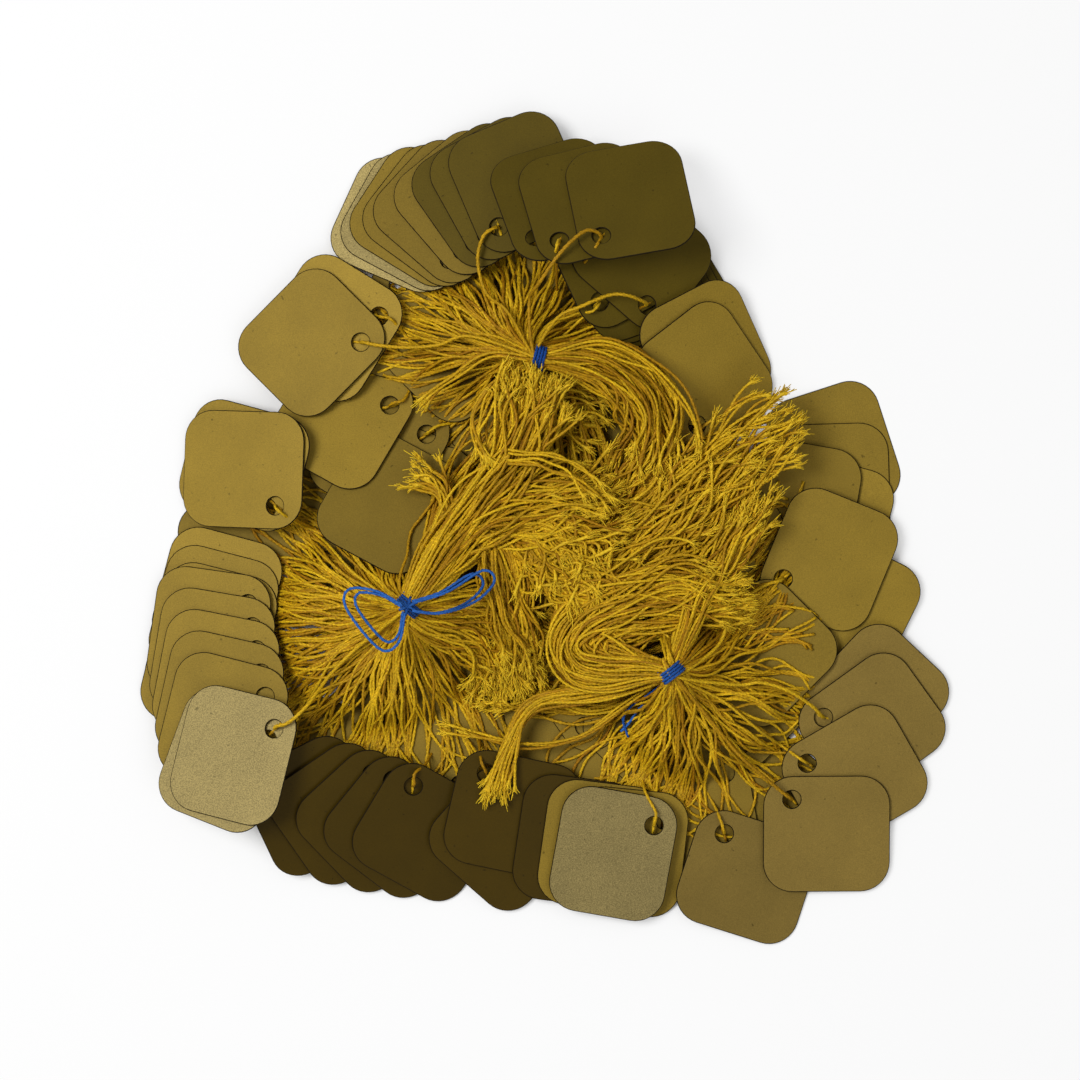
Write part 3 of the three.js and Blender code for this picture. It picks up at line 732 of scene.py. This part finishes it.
# cards that lie flat on the table, deep in the heap: hole x, hole y and turn
deepCards = (
    (-13, 24, 250), (-16, 18, 262), (-25, 29, 200), (8, -31, 300), (0, -37, 268), (14, -42, 250),
    (35, -44, 280), (41, -38, 320), (43, -25, 350), (41, 1, 80), (12, 16, 330), (22, -3, 200),
    (-31.3, 15.3, 280), (-36, 6, 70), (38, -12, 60), (-20, -38, 300), (-8, -20, 200), (20, -16, 180),
    (-13.8, 8, 120), (44, -16, 20), (-48, -8, 190), (-34, -38, 250), (-5, 56.8, 315), (6.6, 53.7, 305),
    (42.1, 20.7, 255), (41.3, 2, 225), (46.8, -24.2, 205), (37.7, -37.1, 165), (22, -45.3, 135),
    (-20.6, -42.2, 125), (-14, -36.3, 135), (-39.8, -3.8, 25), (-26.7, 48.1, 345), (10.6, 37.6, 270),
    (22.8, 25.2, 245), (-10.8, 4.8, 65), (-2.2, -18.8, 115), (-29.2, 5.6, 35), (16.7, -4.1, 165),
    (-30.7, -34.1, 105), (8.4, -35.2, 125), (-15.1, -46.2, 165), (38, -38.5, 135), (-24.9, 36.1, 45),
    (32.7, -21.3, 45), (29.9, -39.9, 75),
)
sweptCards = treeOf(sweptParts())
deepStack = {"levels": 13, "pitch": 0.26, "lift": 0.02, "apart": 25}


def stacked(cards):
    # each card lies one level above the cards that it crosses, clear of every tag's swing
    made, laid = [], []
    for x, y, turn in cards:
        angle = math.radians(turn - 45)
        middle = Vector((x + holeToMiddle * math.cos(angle), y + holeToMiddle * math.sin(angle)))
        taken = {level for level, other in laid if (other - middle).length < deepStack["apart"]}
        for level in range(deepStack["levels"]):
            height = (deepStack["lift"] + level * deepStack["pitch"]) * mm
            place = onPlane(Vector((0, 0, 1)), height, x, y, turn)
            if level not in taken and not treeOf([(thinCard, place)]).overlap(sweptCards):
                laid.append((level, middle))
                made.append(place)
                break
    print("deep cards laid:", len(made), "of", len(cards))
    return made


deepFrames = stacked(deepCards)
deepTones = [chance.uniform(0, 0.3) for _ in deepFrames]
deepPiece = cardsPiece("deep_cards", thinCard, deepFrames, deepTones, "mid")
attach(deepPiece, "heap")


# heights of the cards that lie below the strings
heightGrid = {"reach": 88.0, "cell": 0.5}
gridCount = int(2 * heightGrid["reach"] / heightGrid["cell"]) + 1


def heightMap(tree, above=True):
    # the highest surface at each cell, or the lowest one, and nothing where there is none
    heights = np.full((gridCount, gridCount), 0.0 if above else math.inf)
    reach, cell = heightGrid["reach"] * mm, heightGrid["cell"] * mm
    for i in range(gridCount):
        for j in range(gridCount):
            height = surfaceAt(tree, i * cell - reach, j * cell - reach, above)
            if height is not None:
                heights[i, j] = height
    return heights


def widened(heights, cells):
    # each height spreads over the cells round it
    grown = heights.copy()
    for di in range(-cells, cells + 1):
        for dj in range(-cells, cells + 1):
            if di * di + dj * dj <= cells * cells + 0.5:
                grown = np.maximum(grown, np.roll(heights, (di, dj), (0, 1)))
    return grown


def readMap(heights, points):
    reach, cell = heightGrid["reach"] * mm, heightGrid["cell"] * mm
    place = np.clip((points[:, :2] + reach) / cell, 0, gridCount - 1.001)
    low = place.astype(int)
    part = place - low
    i, j = low[:, 0], low[:, 1]
    near = heights[i, j] * (1 - part[:, 1]) + heights[i, j + 1] * part[:, 1]
    far = heights[i + 1, j] * (1 - part[:, 1]) + heights[i + 1, j + 1] * part[:, 1]
    return near * (1 - part[:, 0]) + far * part[:, 0]


def cellsOf(points):
    # the nearest cell below each point
    place = (points[:, :2] / mm + heightGrid["reach"]) / heightGrid["cell"]
    place = np.clip(place, 0, gridCount - 1).astype(int)
    return place[:, 0], place[:, 1]


cardTree = treeOf([(solidOf(node), Matrix()) for node in (*anchors, *packets)])
cardTops = widened(heightMap(cardTree), 1)
sweptTops = widened(heightMap(sweptCards), 2)
sweptUnders = -widened(-heightMap(sweptCards, above=False), 1)
deepTops = heightMap(treeOf([(deepPiece.data, Matrix())]))
print("heights measured")


# the fans, from each tie back to its tags
def domeHeight(bundle, points):
    middle = spot(*bundle["centre"])
    half = np.array(bundle["half"]) * mm
    share = np.linalg.norm((points[:, :2] - middle) / half, axis=1)
    height = np.interp(share, fanShape["shares"], fanShape["heights"]) * fanShape["height"] * mm
    return np.where(share > 1, 0, height)


# how a strand bends: towards the tags, into its end, and aside on its way, and where strands end
fanBend = {"lean": 4.0, "reach": 0.45, "drift": 2.6, "waves": 0.8, "tries": 9, "tryStep": 1.2, "cover": 0.9}
fanEnds = {"toHole": 0.6, "beside": 3.4, "layers": (0.1, 0.8, 1.5, 2.3), "struck": 4}


def bezier(p0, p1, p2, p3, count=24):
    t = np.linspace(0, 1, count)[:, None]
    return (1 - t) ** 3 * p0 + 3 * (1 - t) ** 2 * t * p1 + 3 * (1 - t) * t * t * p2 + t ** 3 * p3


def turnedBy(way, angle):
    cos, sin = math.cos(angle), math.sin(angle)
    return np.array((way[0] * cos - way[1] * sin, way[0] * sin + way[1] * cos))


def fanPlan(bundle, target, curl):
    # from the tie back into the fan, then round to the target
    tie, way, height = neckOf(bundle)
    side = np.array((-way[1], way[0]))
    angle, reach = chance.uniform(0, math.tau), math.sqrt(chance.random()) * neckLook["radius"] * mm
    start = tie + side * math.cos(angle) * reach + way * 1.0 * mm
    gap = target - start
    length = np.linalg.norm(gap)
    out = gap / length
    pull = (bundle["pull"] + fanBend["lean"] * max(0.0, float(out @ -way))) * mm
    back = turnedBy(out, curl) * length * fanBend["reach"]
    plan = evenly(bezier(start, start - way * pull, target - back, target), stringSize["step"] * mm)
    drift = wander(len(plan), fanBend["drift"] * bundle["curl"] * mm, fanBend["waves"])
    drift *= np.sin(np.linspace(0, math.pi, len(plan)))
    return plan + sideOf(plan) * drift[:, None], height + math.sin(angle) * reach


def settle(plan, startHeight, floors, lift):
    # down from the neck until the strand lies on what is below it
    along = np.concatenate([[0], np.cumsum(np.linalg.norm(np.diff(plan, axis=0), axis=1))])
    lying = smoothed(floors + stringRadius + lift, 6)
    share = np.clip(along / (fanShape["drop"] * mm), 0, 1)
    share = share * share * (3 - 2 * share)
    return np.column_stack([plan, startHeight * (1 - share) + lying * share])


def holesOf(bundle):
    # every hole of the bundle's tags, the packets' too
    mine = [matrix for node, matrix in tagFrames.items() if node.startswith(bundle["tags"])]
    holes = [np.array(matrix.translation)[:2] for matrix in mine]
    for node, packet in packets.items():
        if node.startswith(bundle["tags"]):
            ends = spot(*packet["from"][:2]), spot(*packet["to"][:2])
            holes += [ends[0] + (ends[1] - ends[0]) * k / 5 for k in range(6)]
    return holes


def tuckedIn(target, middle):
    # moves a strand's end outwards until a tag covers it, or gives up
    out = (target - middle) / np.linalg.norm(target - middle)
    for step in range(fanBend["tries"]):
        place = target + out * step * fanBend["tryStep"] * mm
        around = np.array([place, place + out * 1.5 * mm, place - out * 1.0 * mm])
        if readMap(cardTops, around).min() > fanBend["cover"] * mm:
            return place + out * chance.uniform(0, 2) * mm
    return None


def ducked(points):
    # keeps a strand below the tags, wherever they swing, if there is room for it
    under = sweptUnders[cellsOf(points)] - stringRadius * 1.2
    low = readMap(deepTops, points) + stringRadius
    under = np.where(np.isfinite(under) & (under > low), under, math.inf)
    points[:, 2] = np.minimum(points[:, 2], under)
    return points


def struck(points):
    # how many of the points a tag hits as it swings, where no tag lies at rest
    under = sweptUnders[cellsOf(points)] - stringRadius
    below = points[:, 2] < readMap(sweptTops, points) + stringRadius
    return np.count_nonzero(below & (points[:, 2] > under) & (readMap(cardTops, points) < 0.3 * mm))


def hiddenStrands(bundle):
    # strands that run down the dome and on under the tags, most of them towards a hole
    made = []
    middle, half = spot(*bundle["centre"]), np.array(bundle["half"]) * mm
    holes = holesOf(bundle)
    while len(made) < bundle["strands"]:
        angle = chance.uniform(0, math.tau)
        target = middle + half * np.array((math.cos(angle), math.sin(angle))) * chance.uniform(0.9, 1.1)
        if chance.random() < fanEnds["toHole"]:
            hole = chance.choice(holes)
            out = (hole - middle) / np.linalg.norm(hole - middle)
            target = hole + out * chance.uniform(-3, 1) * mm
            target = target + turnedBy(out, math.pi / 2) * chance.gauss(0, fanEnds["beside"]) * mm
        target = tuckedIn(target, middle)
        if target is None:
            continue
        plan, height = fanPlan(bundle, target, chance.gauss(0, bundle["curl"]))
        layer = chance.choice(fanEnds["layers"]) * mm
        floors = np.maximum(domeHeight(bundle, plan) - layer - stringRadius * 2, readMap(deepTops, plan))
        points = ducked(settle(plan, height, floors, 0))
        if struck(points) < fanEnds["struck"]:
            made.append(strandOf(points))
    return made


def holeString(bundle, node):
    # the half of the loop that comes over the card
    ends = intoHole(node, neckOf(bundle)[0], ((2.7, 1.5), (0.9, 1.5), (0.1, 0.5), (-0.1, -0.5)))
    plan, startHeight = fanPlan(bundle, ends[0][:2], chance.gauss(0, 0.5))
    floors = np.maximum(readMap(cardTops, plan), domeHeight(bundle, plan))
    points = settle(plan, startHeight, floors, 0.25 * mm)
    points[:, 2] = np.maximum(points[:, 2], readMap(cardTops, plan) + stringRadius * 0.9)
    return strandOf(evenly(np.vstack([points[:-3:3], ends]), stringSize["step"] * mm))


def underString(bundle, node):
    # the other half of the loop, which comes in below the card
    under = intoHole(node, neckOf(bundle)[0], ((3.0, -0.6), (0.6, -0.5), (-0.6, -0.5), (-1.6, -0.6)))
    plan, startHeight = fanPlan(bundle, under[0][:2], chance.gauss(0, 0.5))
    floors = np.maximum(domeHeight(bundle, plan) - 1.2 * mm - stringRadius, readMap(deepTops, plan))
    points = ducked(settle(plan, startHeight, floors, 0))
    return strandOf(evenly(np.vstack([points[:-5:3], under]), stringSize["step"] * mm))


def holeShows(node):
    # whether half the places round the hole have no other card over them
    matrix = tagFrames[node]
    reach, seen = 2.1 * mm, 0
    for k in range(8):
        angle = k * math.tau / 8
        edge = Vector((reach * math.cos(angle), reach * math.sin(angle), cardSize["thickness"] * mm))
        edge = matrix @ edge
        top = surfaceAt(cardTree, edge.x, edge.y)
        seen += top is not None and top < edge.z + 0.25 * mm
    return seen >= 4


cordTags = {node[:-len("_string")] for node in frame["nodes"] if node.endswith("_string")}
for name, bundle in bundles.items():
    strands = hiddenStrands(bundle)
    mine = [node for node in anchors if node.startswith(bundle["tags"])]
    shown = [node for node in mine if holeShows(node)]
    strands += [holeString(bundle, node) for node in shown if node not in cordTags]
    strands += [underString(bundle, node) for node in shown]
    piece = strandsPiece(name + "_fan_strings", strands, stringProfile, cotton)
    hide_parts(name + "_strings")
    print(name, "fan made:", len(strands), "strands,", len(piece.data.polygons), "faces, holes", shown)


# the tails, from each tie on into the middle of the heap
# each flow: points as x, y, height, then half the width and half the height there, all in mm,
# the share of the way after which strands are cut, how far they splay, and for some how far they
# stray or how late they start
flows = {
    "top_sweep": {"count": 100, "cut": 0.62, "splay": 2.2, "path": (
        (0, 33.6, 13.9, 1.5, 1.5), (5, 33.6, 13.2, 3.0, 2.4), (12, 32.2, 12, 4.6, 2.8),
        (18.5, 27.6, 10.5, 5.6, 2.8), (21, 20.5, 9, 5.8, 2.6), (19, 13, 8, 5.6, 2.4),
        (14.5, 7, 7.5, 5.4, 2.2), (8, 2.5, 7.5, 6, 2),
    )},
    "left_rise": {"count": 98, "cut": 0.86, "splay": 2.6, "path": (
        (-24.3, -12.2, 14.5, 1.5, 1.5), (-21.5, -7.5, 14, 3.2, 2.6), (-17.5, -1, 13, 4.2, 2.8),
        (-12, 6.5, 12, 4.6, 2.6), (-6.5, 13.5, 12, 4.8, 2.2), (-3.4, 21, 13, 5.6, 2),
        (0.4, 31.5, 15.2, 6.8, 1.4),
    )},
    "left_over": {"count": 92, "cut": 0.72, "splay": 2.8, "path": (
        (-24.3, -12.2, 14.2, 1.5, 1.5), (-20.5, -7, 13.4, 3.2, 2.6), (-15, -0.5, 12, 4.4, 2.8),
        (-8, 4, 11.5, 5, 2.6), (1, 6.5, 11, 5.5, 2.2), (9, 7.5, 10.5, 6, 2), (16, 9, 10, 6.5, 2),
    )},
    "left_spray": {"count": 14, "cut": 0.8, "splay": 1.6, "path": (
        (-17, -2, 12, 1.2, 0.8), (-16.5, 4, 11, 1.4, 0.8), (-18, 9, 10, 2, 0.8),
        (-21, 12.5, 9.6, 3, 0.8), (-25, 14.5, 9.4, 4.2, 0.8),
    )},
    "middle_fall": {"count": 64, "cut": 0.66, "splay": 2.0, "path": (
        (-13, 1.5, 12, 1.6, 1), (-9.5, -0.5, 11.5, 3, 1.6), (-7.5, -5, 10.5, 4.2, 1.8),
        (-6.4, -12, 9, 4.4, 1.8), (-5, -19, 7.5, 4, 1.6), (-3.2, -25, 6, 3.4, 1.2),
        (-2, -29.5, 5, 4, 1),
    )},
    "right_hairpin": {"count": 76, "cut": 0.8, "splay": 2.4, "stray": 1.8, "path": (
        (24.4, -24.4, 14.1, 1.5, 1.5), (19, -24, 13, 2.8, 2.2), (12, -24.2, 11, 3.8, 2.2),
        (7, -22.8, 10, 4, 2), (5.6, -19, 10, 3.8, 1.8), (9, -14.6, 10.5, 4.4, 1.8),
        (16, -11.4, 11, 5.2, 1.8), (24, -9.6, 11, 5.2, 1.6), (31, -9.4, 10.5, 4.6, 1.4),
        (40, -9.6, 9.5, 4, 1.2),
    )},
    "hairpin_inside": {"count": 28, "cut": 0.7, "splay": 2.6, "stray": 2.2, "path": (
        (22, -23.6, 13, 1.4, 1.2), (16, -22, 12, 2.4, 1.4), (11.6, -20, 11, 2.6, 1.4),
        (13, -17.4, 11, 2.8, 1.2), (20, -15.4, 10.6, 3.2, 1.2), (28, -14.6, 9.6, 3, 1),
    )},
    "right_tassel": {"count": 24, "cut": 0.93, "splay": 0.9, "path": (
        (24.4, -24.4, 12.6, 1.5, 1.5), (16, -27.2, 10, 1.8, 1.2), (7, -29.2, 8, 1.6, 1),
        (0, -30.4, 7, 1.2, 0.8), (-3.6, -33.6, 6.4, 1.1, 0.8), (-5.6, -39, 6.2, 1.5, 0.7),
        (-7.4, -45, 6.2, 2, 0.6), (-8.4, -49.6, 6, 2.8, 0.5),
    )},
    "right_rise": {"count": 145, "cut": 0.5, "splay": 2.8, "path": (
        (4, -9, 7, 5, 1.8), (12, -5.6, 7.4, 6.4, 2.2), (19, 0, 8, 7.4, 2.4), (26, 6.4, 8.6, 7.6, 2.2),
        (33, 13, 9.2, 7, 1.8), (40, 19, 9.8, 6.2, 1.4), (48.5, 24.5, 10.4, 6.6, 0.9),
    )},
    "right_climb": {"count": 38, "cut": 0.75, "splay": 2.6, "path": (
        (24.4, -24.4, 14, 1.5, 1.5), (26.5, -18.5, 12, 2.2, 1.8), (30, -10, 10.5, 3, 1.6),
        (35, -1.5, 10, 3.4, 1.4), (39.5, 5, 10, 3.4, 1.2), (43, 12, 10, 3.6, 1),
    )},
    "crossing": {"count": 3, "cut": 0.9, "splay": 1.0, "path": (
        (24, -25, 12, 0.6, 0.4), (16, -31.4, 7, 1, 0.4), (8, -37.4, 4.8, 1.2, 0.3),
        (-2, -39, 4.8, 1.2, 0.3), (-12, -37.4, 4.8, 1, 0.3), (-19, -35.8, 4.8, 1, 0.3),
    )},
    # short cut ends that lie in the middle
    "middle_ends": {"count": 150, "cut": 0.4, "splay": 3.6, "late": 0.35, "path": (
        (-10, 6, 10, 4, 1.2), (-3, 2, 10.4, 7, 2), (4, -3.5, 10.2, 8, 2), (10, -10, 10, 7, 1.6),
        (13, -15, 9, 6, 1),
    )},
    # strings of the fans on the side that has no tags, which curl round and lie in the middle
    "left_skirt": {"count": 56, "cut": 0.75, "splay": 2.4, "path": (
        (-25.4, -13.4, 13.6, 1.4, 1.4), (-20, -16.6, 11.4, 3.2, 2), (-13, -19, 8.4, 4.6, 2),
        (-8.4, -24, 5.4, 5, 1.6), (-7.4, -31, 3, 4.4, 1),
    )},
    "left_side": {"count": 48, "cut": 0.75, "splay": 2.4, "path": (
        (-24.6, -12.8, 13.8, 1.4, 1.4), (-18.5, -12.4, 11.4, 2.8, 1.8), (-11.5, -12, 9, 4, 1.8),
        (-6, -15, 7, 4.6, 1.6), (-3, -22, 5, 4, 1.2),
    )},
    # what lies deep in the heap, below the rest
    "deep_hairpin": {"count": 32, "cut": 0.85, "splay": 2, "path": (
        (1, -14, 4, 4, 1.4), (9, -18, 4.4, 4, 1.6), (18, -19, 4.6, 4, 1.6), (27, -16, 4.4, 4, 1.4),
        (36, -14, 4, 4, 1),
    )},
    "deep_left": {"count": 36, "cut": 0.8, "splay": 2, "path": (
        (-20, -4, 5, 3, 1), (-14, 6, 4, 6, 1.6), (-6, 16, 4, 7, 1.6), (4, 23, 4.4, 7, 1.6),
        (14, 22, 4.4, 6, 1.4),
    )},
    "deep_middle": {"count": 50, "cut": 0.8, "splay": 2, "path": (
        (3, 28, 4.4, 6, 1.4), (6, 16, 4, 8, 1.6), (6, 2, 4, 9, 1.6), (3, -12, 3.6, 9, 1.6),
        (0, -24, 3, 7, 1.2), (-3, -31, 2.6, 5, 1),
    )},
    "deep_right": {"count": 50, "cut": 0.8, "splay": 2, "path": (
        (8, 10, 4, 6, 1.4), (17, 2, 4, 8, 1.6), (24, -6, 4, 8, 1.6), (32, -12, 3.6, 7, 1.4),
        (40, -14, 3.4, 5, 1),
    )},
    "deep_low": {"count": 26, "cut": 0.8, "splay": 2, "path": (
        (20, -28, 4, 3, 1), (12, -30, 3, 4, 1), (3, -30, 2.6, 4, 1), (-6, -29, 2.6, 4, 1),
        (-14, -27, 2.6, 3, 1),
    )},
    # single strands that stray over the rest
    "stray_west": {"count": 3, "cut": 0.9, "splay": 1, "path": (
        (-2, 33.6, 14.4, 0.6, 0.4), (-10.5, 34, 12.6, 0.8, 0.4), (-16.5, 30, 10, 0.8, 0.4),
        (-22.6, 24.6, 7.6, 0.8, 0.3),
    )},
    "stray_east": {"count": 3, "cut": 0.92, "splay": 1, "path": (
        (1.5, 34.6, 15.6, 0.5, 0.3), (12, 36.8, 14.6, 0.7, 0.3), (21, 32.6, 13.4, 0.7, 0.3),
        (27, 26, 12.6, 0.7, 0.3), (29.6, 19.6, 11.6, 0.5, 0.3), (28.6, 15.6, 10.6, 0.5, 0.3),
    )},
    "stray_drop": {"count": 5, "cut": 0.8, "splay": 1.4, "path": (
        (-3, 32.4, 14.4, 1.4, 0.5), (-9, 27.6, 13.6, 1.6, 0.5), (-11.6, 20, 13.6, 1.8, 0.5),
        (-8, 12.4, 14, 2, 0.5),
    )},
    "stray_middle": {"count": 5, "cut": 0.75, "splay": 1.4, "path": (
        (-6, 15, 15.4, 2, 0.4), (1, 14.6, 15.6, 1.8, 0.4), (8, 11, 15, 1.8, 0.4), (13, 5, 13.6, 2, 0.4),
    )},
    "stray_low": {"count": 6, "cut": 0.7, "splay": 2, "path": (
        (-10, -2, 13.8, 2, 0.5), (-9.6, -10, 12.8, 2.4, 0.5), (-6, -19, 11, 2.6, 0.5),
        (-3, -28, 8, 2.4, 0.5),
    )},
}


# a strand's cut end: how thick and pale it gets there, and its brush of thin fibres
brush = {"swell": 0.3, "paleness": 0.8, "fibres": 14, "spread": 0.16, "bend": 0.12, "length": (0.8, 1.9)}


def flowStrand(path, flow):
    # one strand beside the flow's middle line, cut somewhere past the flow's cut share
    begin = chance.uniform(0, flow["late"]) if "late" in flow else 0
    end = begin + (1 - begin) * chance.uniform(flow["cut"], 1)
    line = path[int(begin * (len(path) - 6)):max(6, int(end * len(path)))]
    angle, reach = chance.uniform(0, math.tau), math.sqrt(chance.random())
    count = len(line)
    share = np.linspace(0, 1, count)
    across = math.cos(angle) * reach + wander(count, 0.6, 0.8) * share
    above = math.sin(angle) * reach + wander(count, 0.5, 0.9) * share
    splay = chance.gauss(0, 0.5) * flow["splay"] * mm * np.clip((share - 0.55) / 0.45, 0, 1) ** 2
    plan = line[:, :2] + sideOf(line[:, :2]) * (across * line[:, 3] + splay)[:, None]
    stray = flow.get("stray", 0.6) * mm * np.sin(share * math.pi)
    plan += np.column_stack([wander(count, 1, 0.5) * stray for _ in range(2)])
    height = line[:, 2] + above * line[:, 4] + abs(splay) * 0.15
    floor = smoothed(readMap(sweptTops, plan), 2) + stringRadius
    height = np.maximum(smoothed(np.maximum(height, floor), 3), readMap(sweptTops, plan) + stringRadius)
    atEnd = np.clip((share * count - count + 3) / 3, 0, 1)
    rows = np.column_stack([plan, height, 1 + brush["swell"] * atEnd, atEnd * brush["paleness"]])
    strand = strandOf(evenly(rows, stringSize["step"] * mm))
    # the swell and the paleness travelled with the points while they were spaced
    points = strand["points"]
    return {**strand, "points": points[:, :3], "radius": points[:, 3], "tip": points[:, 4]}


def frayed(strand):
    made = []
    last, before = strand["points"][-1], strand["points"][-3]
    way = (last - before) / np.linalg.norm(last - before)
    for _ in range(brush["fibres"]):
        lean = np.array([chance.gauss(0, brush["spread"]) for _ in range(3)])
        reach = chance.uniform(*brush["length"]) * mm
        start = last - way * 0.8 * mm + lean * 1.6 * mm
        bend = np.array([chance.gauss(0, brush["bend"]) for _ in range(3)])
        halfWay = start + (way + lean) * reach * 0.5
        points = np.array([start, halfWay, start + (way + lean * 1.3 + bend) * reach])
        points[:, 2] = np.maximum(points[:, 2], 0.2 * mm)
        made.append({"points": points, "tone": chance.random(), "tip": chance.uniform(0.4, 1)})
    return made


for name, flow in flows.items():
    path = evenly(laidOut(flow["path"]), 0.8 * mm)
    strands = [flowStrand(path, flow) for _ in range(flow["count"])]
    strandsPiece(name + "_strings", strands, stringProfile, cotton)
    fibres = [fibre for strand in strands for fibre in frayed(strand)]
    strandsPiece(name + "_frayed_ends", fibres, fibreProfile, cotton, 0)
print("tails made:", sum(flow["count"] for flow in flows.values()), "strands")


# ties of blue thread
tieLook = {"turns": 4, "pitch": 0.56, "radius": 2.25, "steps": 26}


def woundThread(bundle):
    tie, way, height = neckOf(bundle)
    side = np.array((-way[1], way[0]))
    turns = np.linspace(0, math.tau * tieLook["turns"], tieLook["turns"] * tieLook["steps"])
    shift = (turns / math.tau - tieLook["turns"] / 2) * tieLook["pitch"]
    plan = tie + (way * shift[:, None] + side * (np.cos(turns) * tieLook["radius"])[:, None]) * mm
    return strandOf(np.column_stack([plan, height + np.sin(turns) * tieLook["radius"] * mm]))


bowLoops = (
    (
        (-25.2, -12), (-30, -9.4), (-35, -9), (-35.8, -12),
        (-32, -17.5), (-28.5, -20.4), (-25.8, -18.5), (-24.8, -13.4),
    ),
    ((-23.4, -11.6), (-17, -9.5), (-10.5, -5.6), (-8.4, -7.6), (-12, -11.4), (-18, -13.4), (-23.4, -13)),
)


def bowStrands(bundle):
    made = []
    knot = (fanShape["height"] + neckLook["over"] + 2 * bundle["neck"]) * mm
    for loop in bowLoops:
        ends = spot(*loop[0])
        for size, part in ((1, 0), (0.84, 0.3)):
            ring = evenly(np.array([ends + (spot(*point) - ends) * size for point in loop]), 1.2 * mm)
            ring = ring + sideOf(ring) * part * mm
            tops = topsAt("left_tie_thread", ring, 0.2 * mm)
            known = np.flatnonzero(~np.isnan(tops))
            tops = np.interp(np.arange(len(ring)), known, tops[known])
            ring = np.column_stack([ring, smoothed(tops, 4) - threadRadius * 0.6])
            made.append(strandOf(evenly(ring, 0.6 * mm)))
    tie = spot(*bundle["tie"])
    for lean in (0.4, -0.5, 1.3):
        across = np.array((math.cos(lean), math.sin(lean))) * 1.7 * mm
        arch = np.linspace(-1, 1, 10)
        plan = tie + across * arch[:, None]
        made.append(strandOf(np.column_stack([plan, knot + 0.9 * mm - 1.2 * mm * arch ** 2])))
    return made


looseEnds = (
    ((23.4, -26.4, 12), (20, -29, 8.6), (17.2, -31, 6.4), (15.6, -33.6, 5.4), (16.6, -37, 4.8)),
    ((23.8, -26.8, 12), (21, -29.6, 8), (18.6, -31.6, 6), (17, -34, 5.2), (15.2, -36, 4.8)),
)
for name, bundle in bundles.items():
    strands = [woundThread(bundle)]
    if name == "left":
        strands += bowStrands(bundle)
    if name == "right":
        for end in looseEnds:
            strands.append(strandOf(evenly(laidOut(end), 0.7 * mm)))
    piece = strandsPiece(name + "_tie", strands, threadProfile, blueThread)
    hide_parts(name + "_tie_thread")
print("ties made")


# the last of it
for helper in (stringProfile, cordProfile, threadProfile, fibreProfile):
    bpy.data.objects.remove(helper)
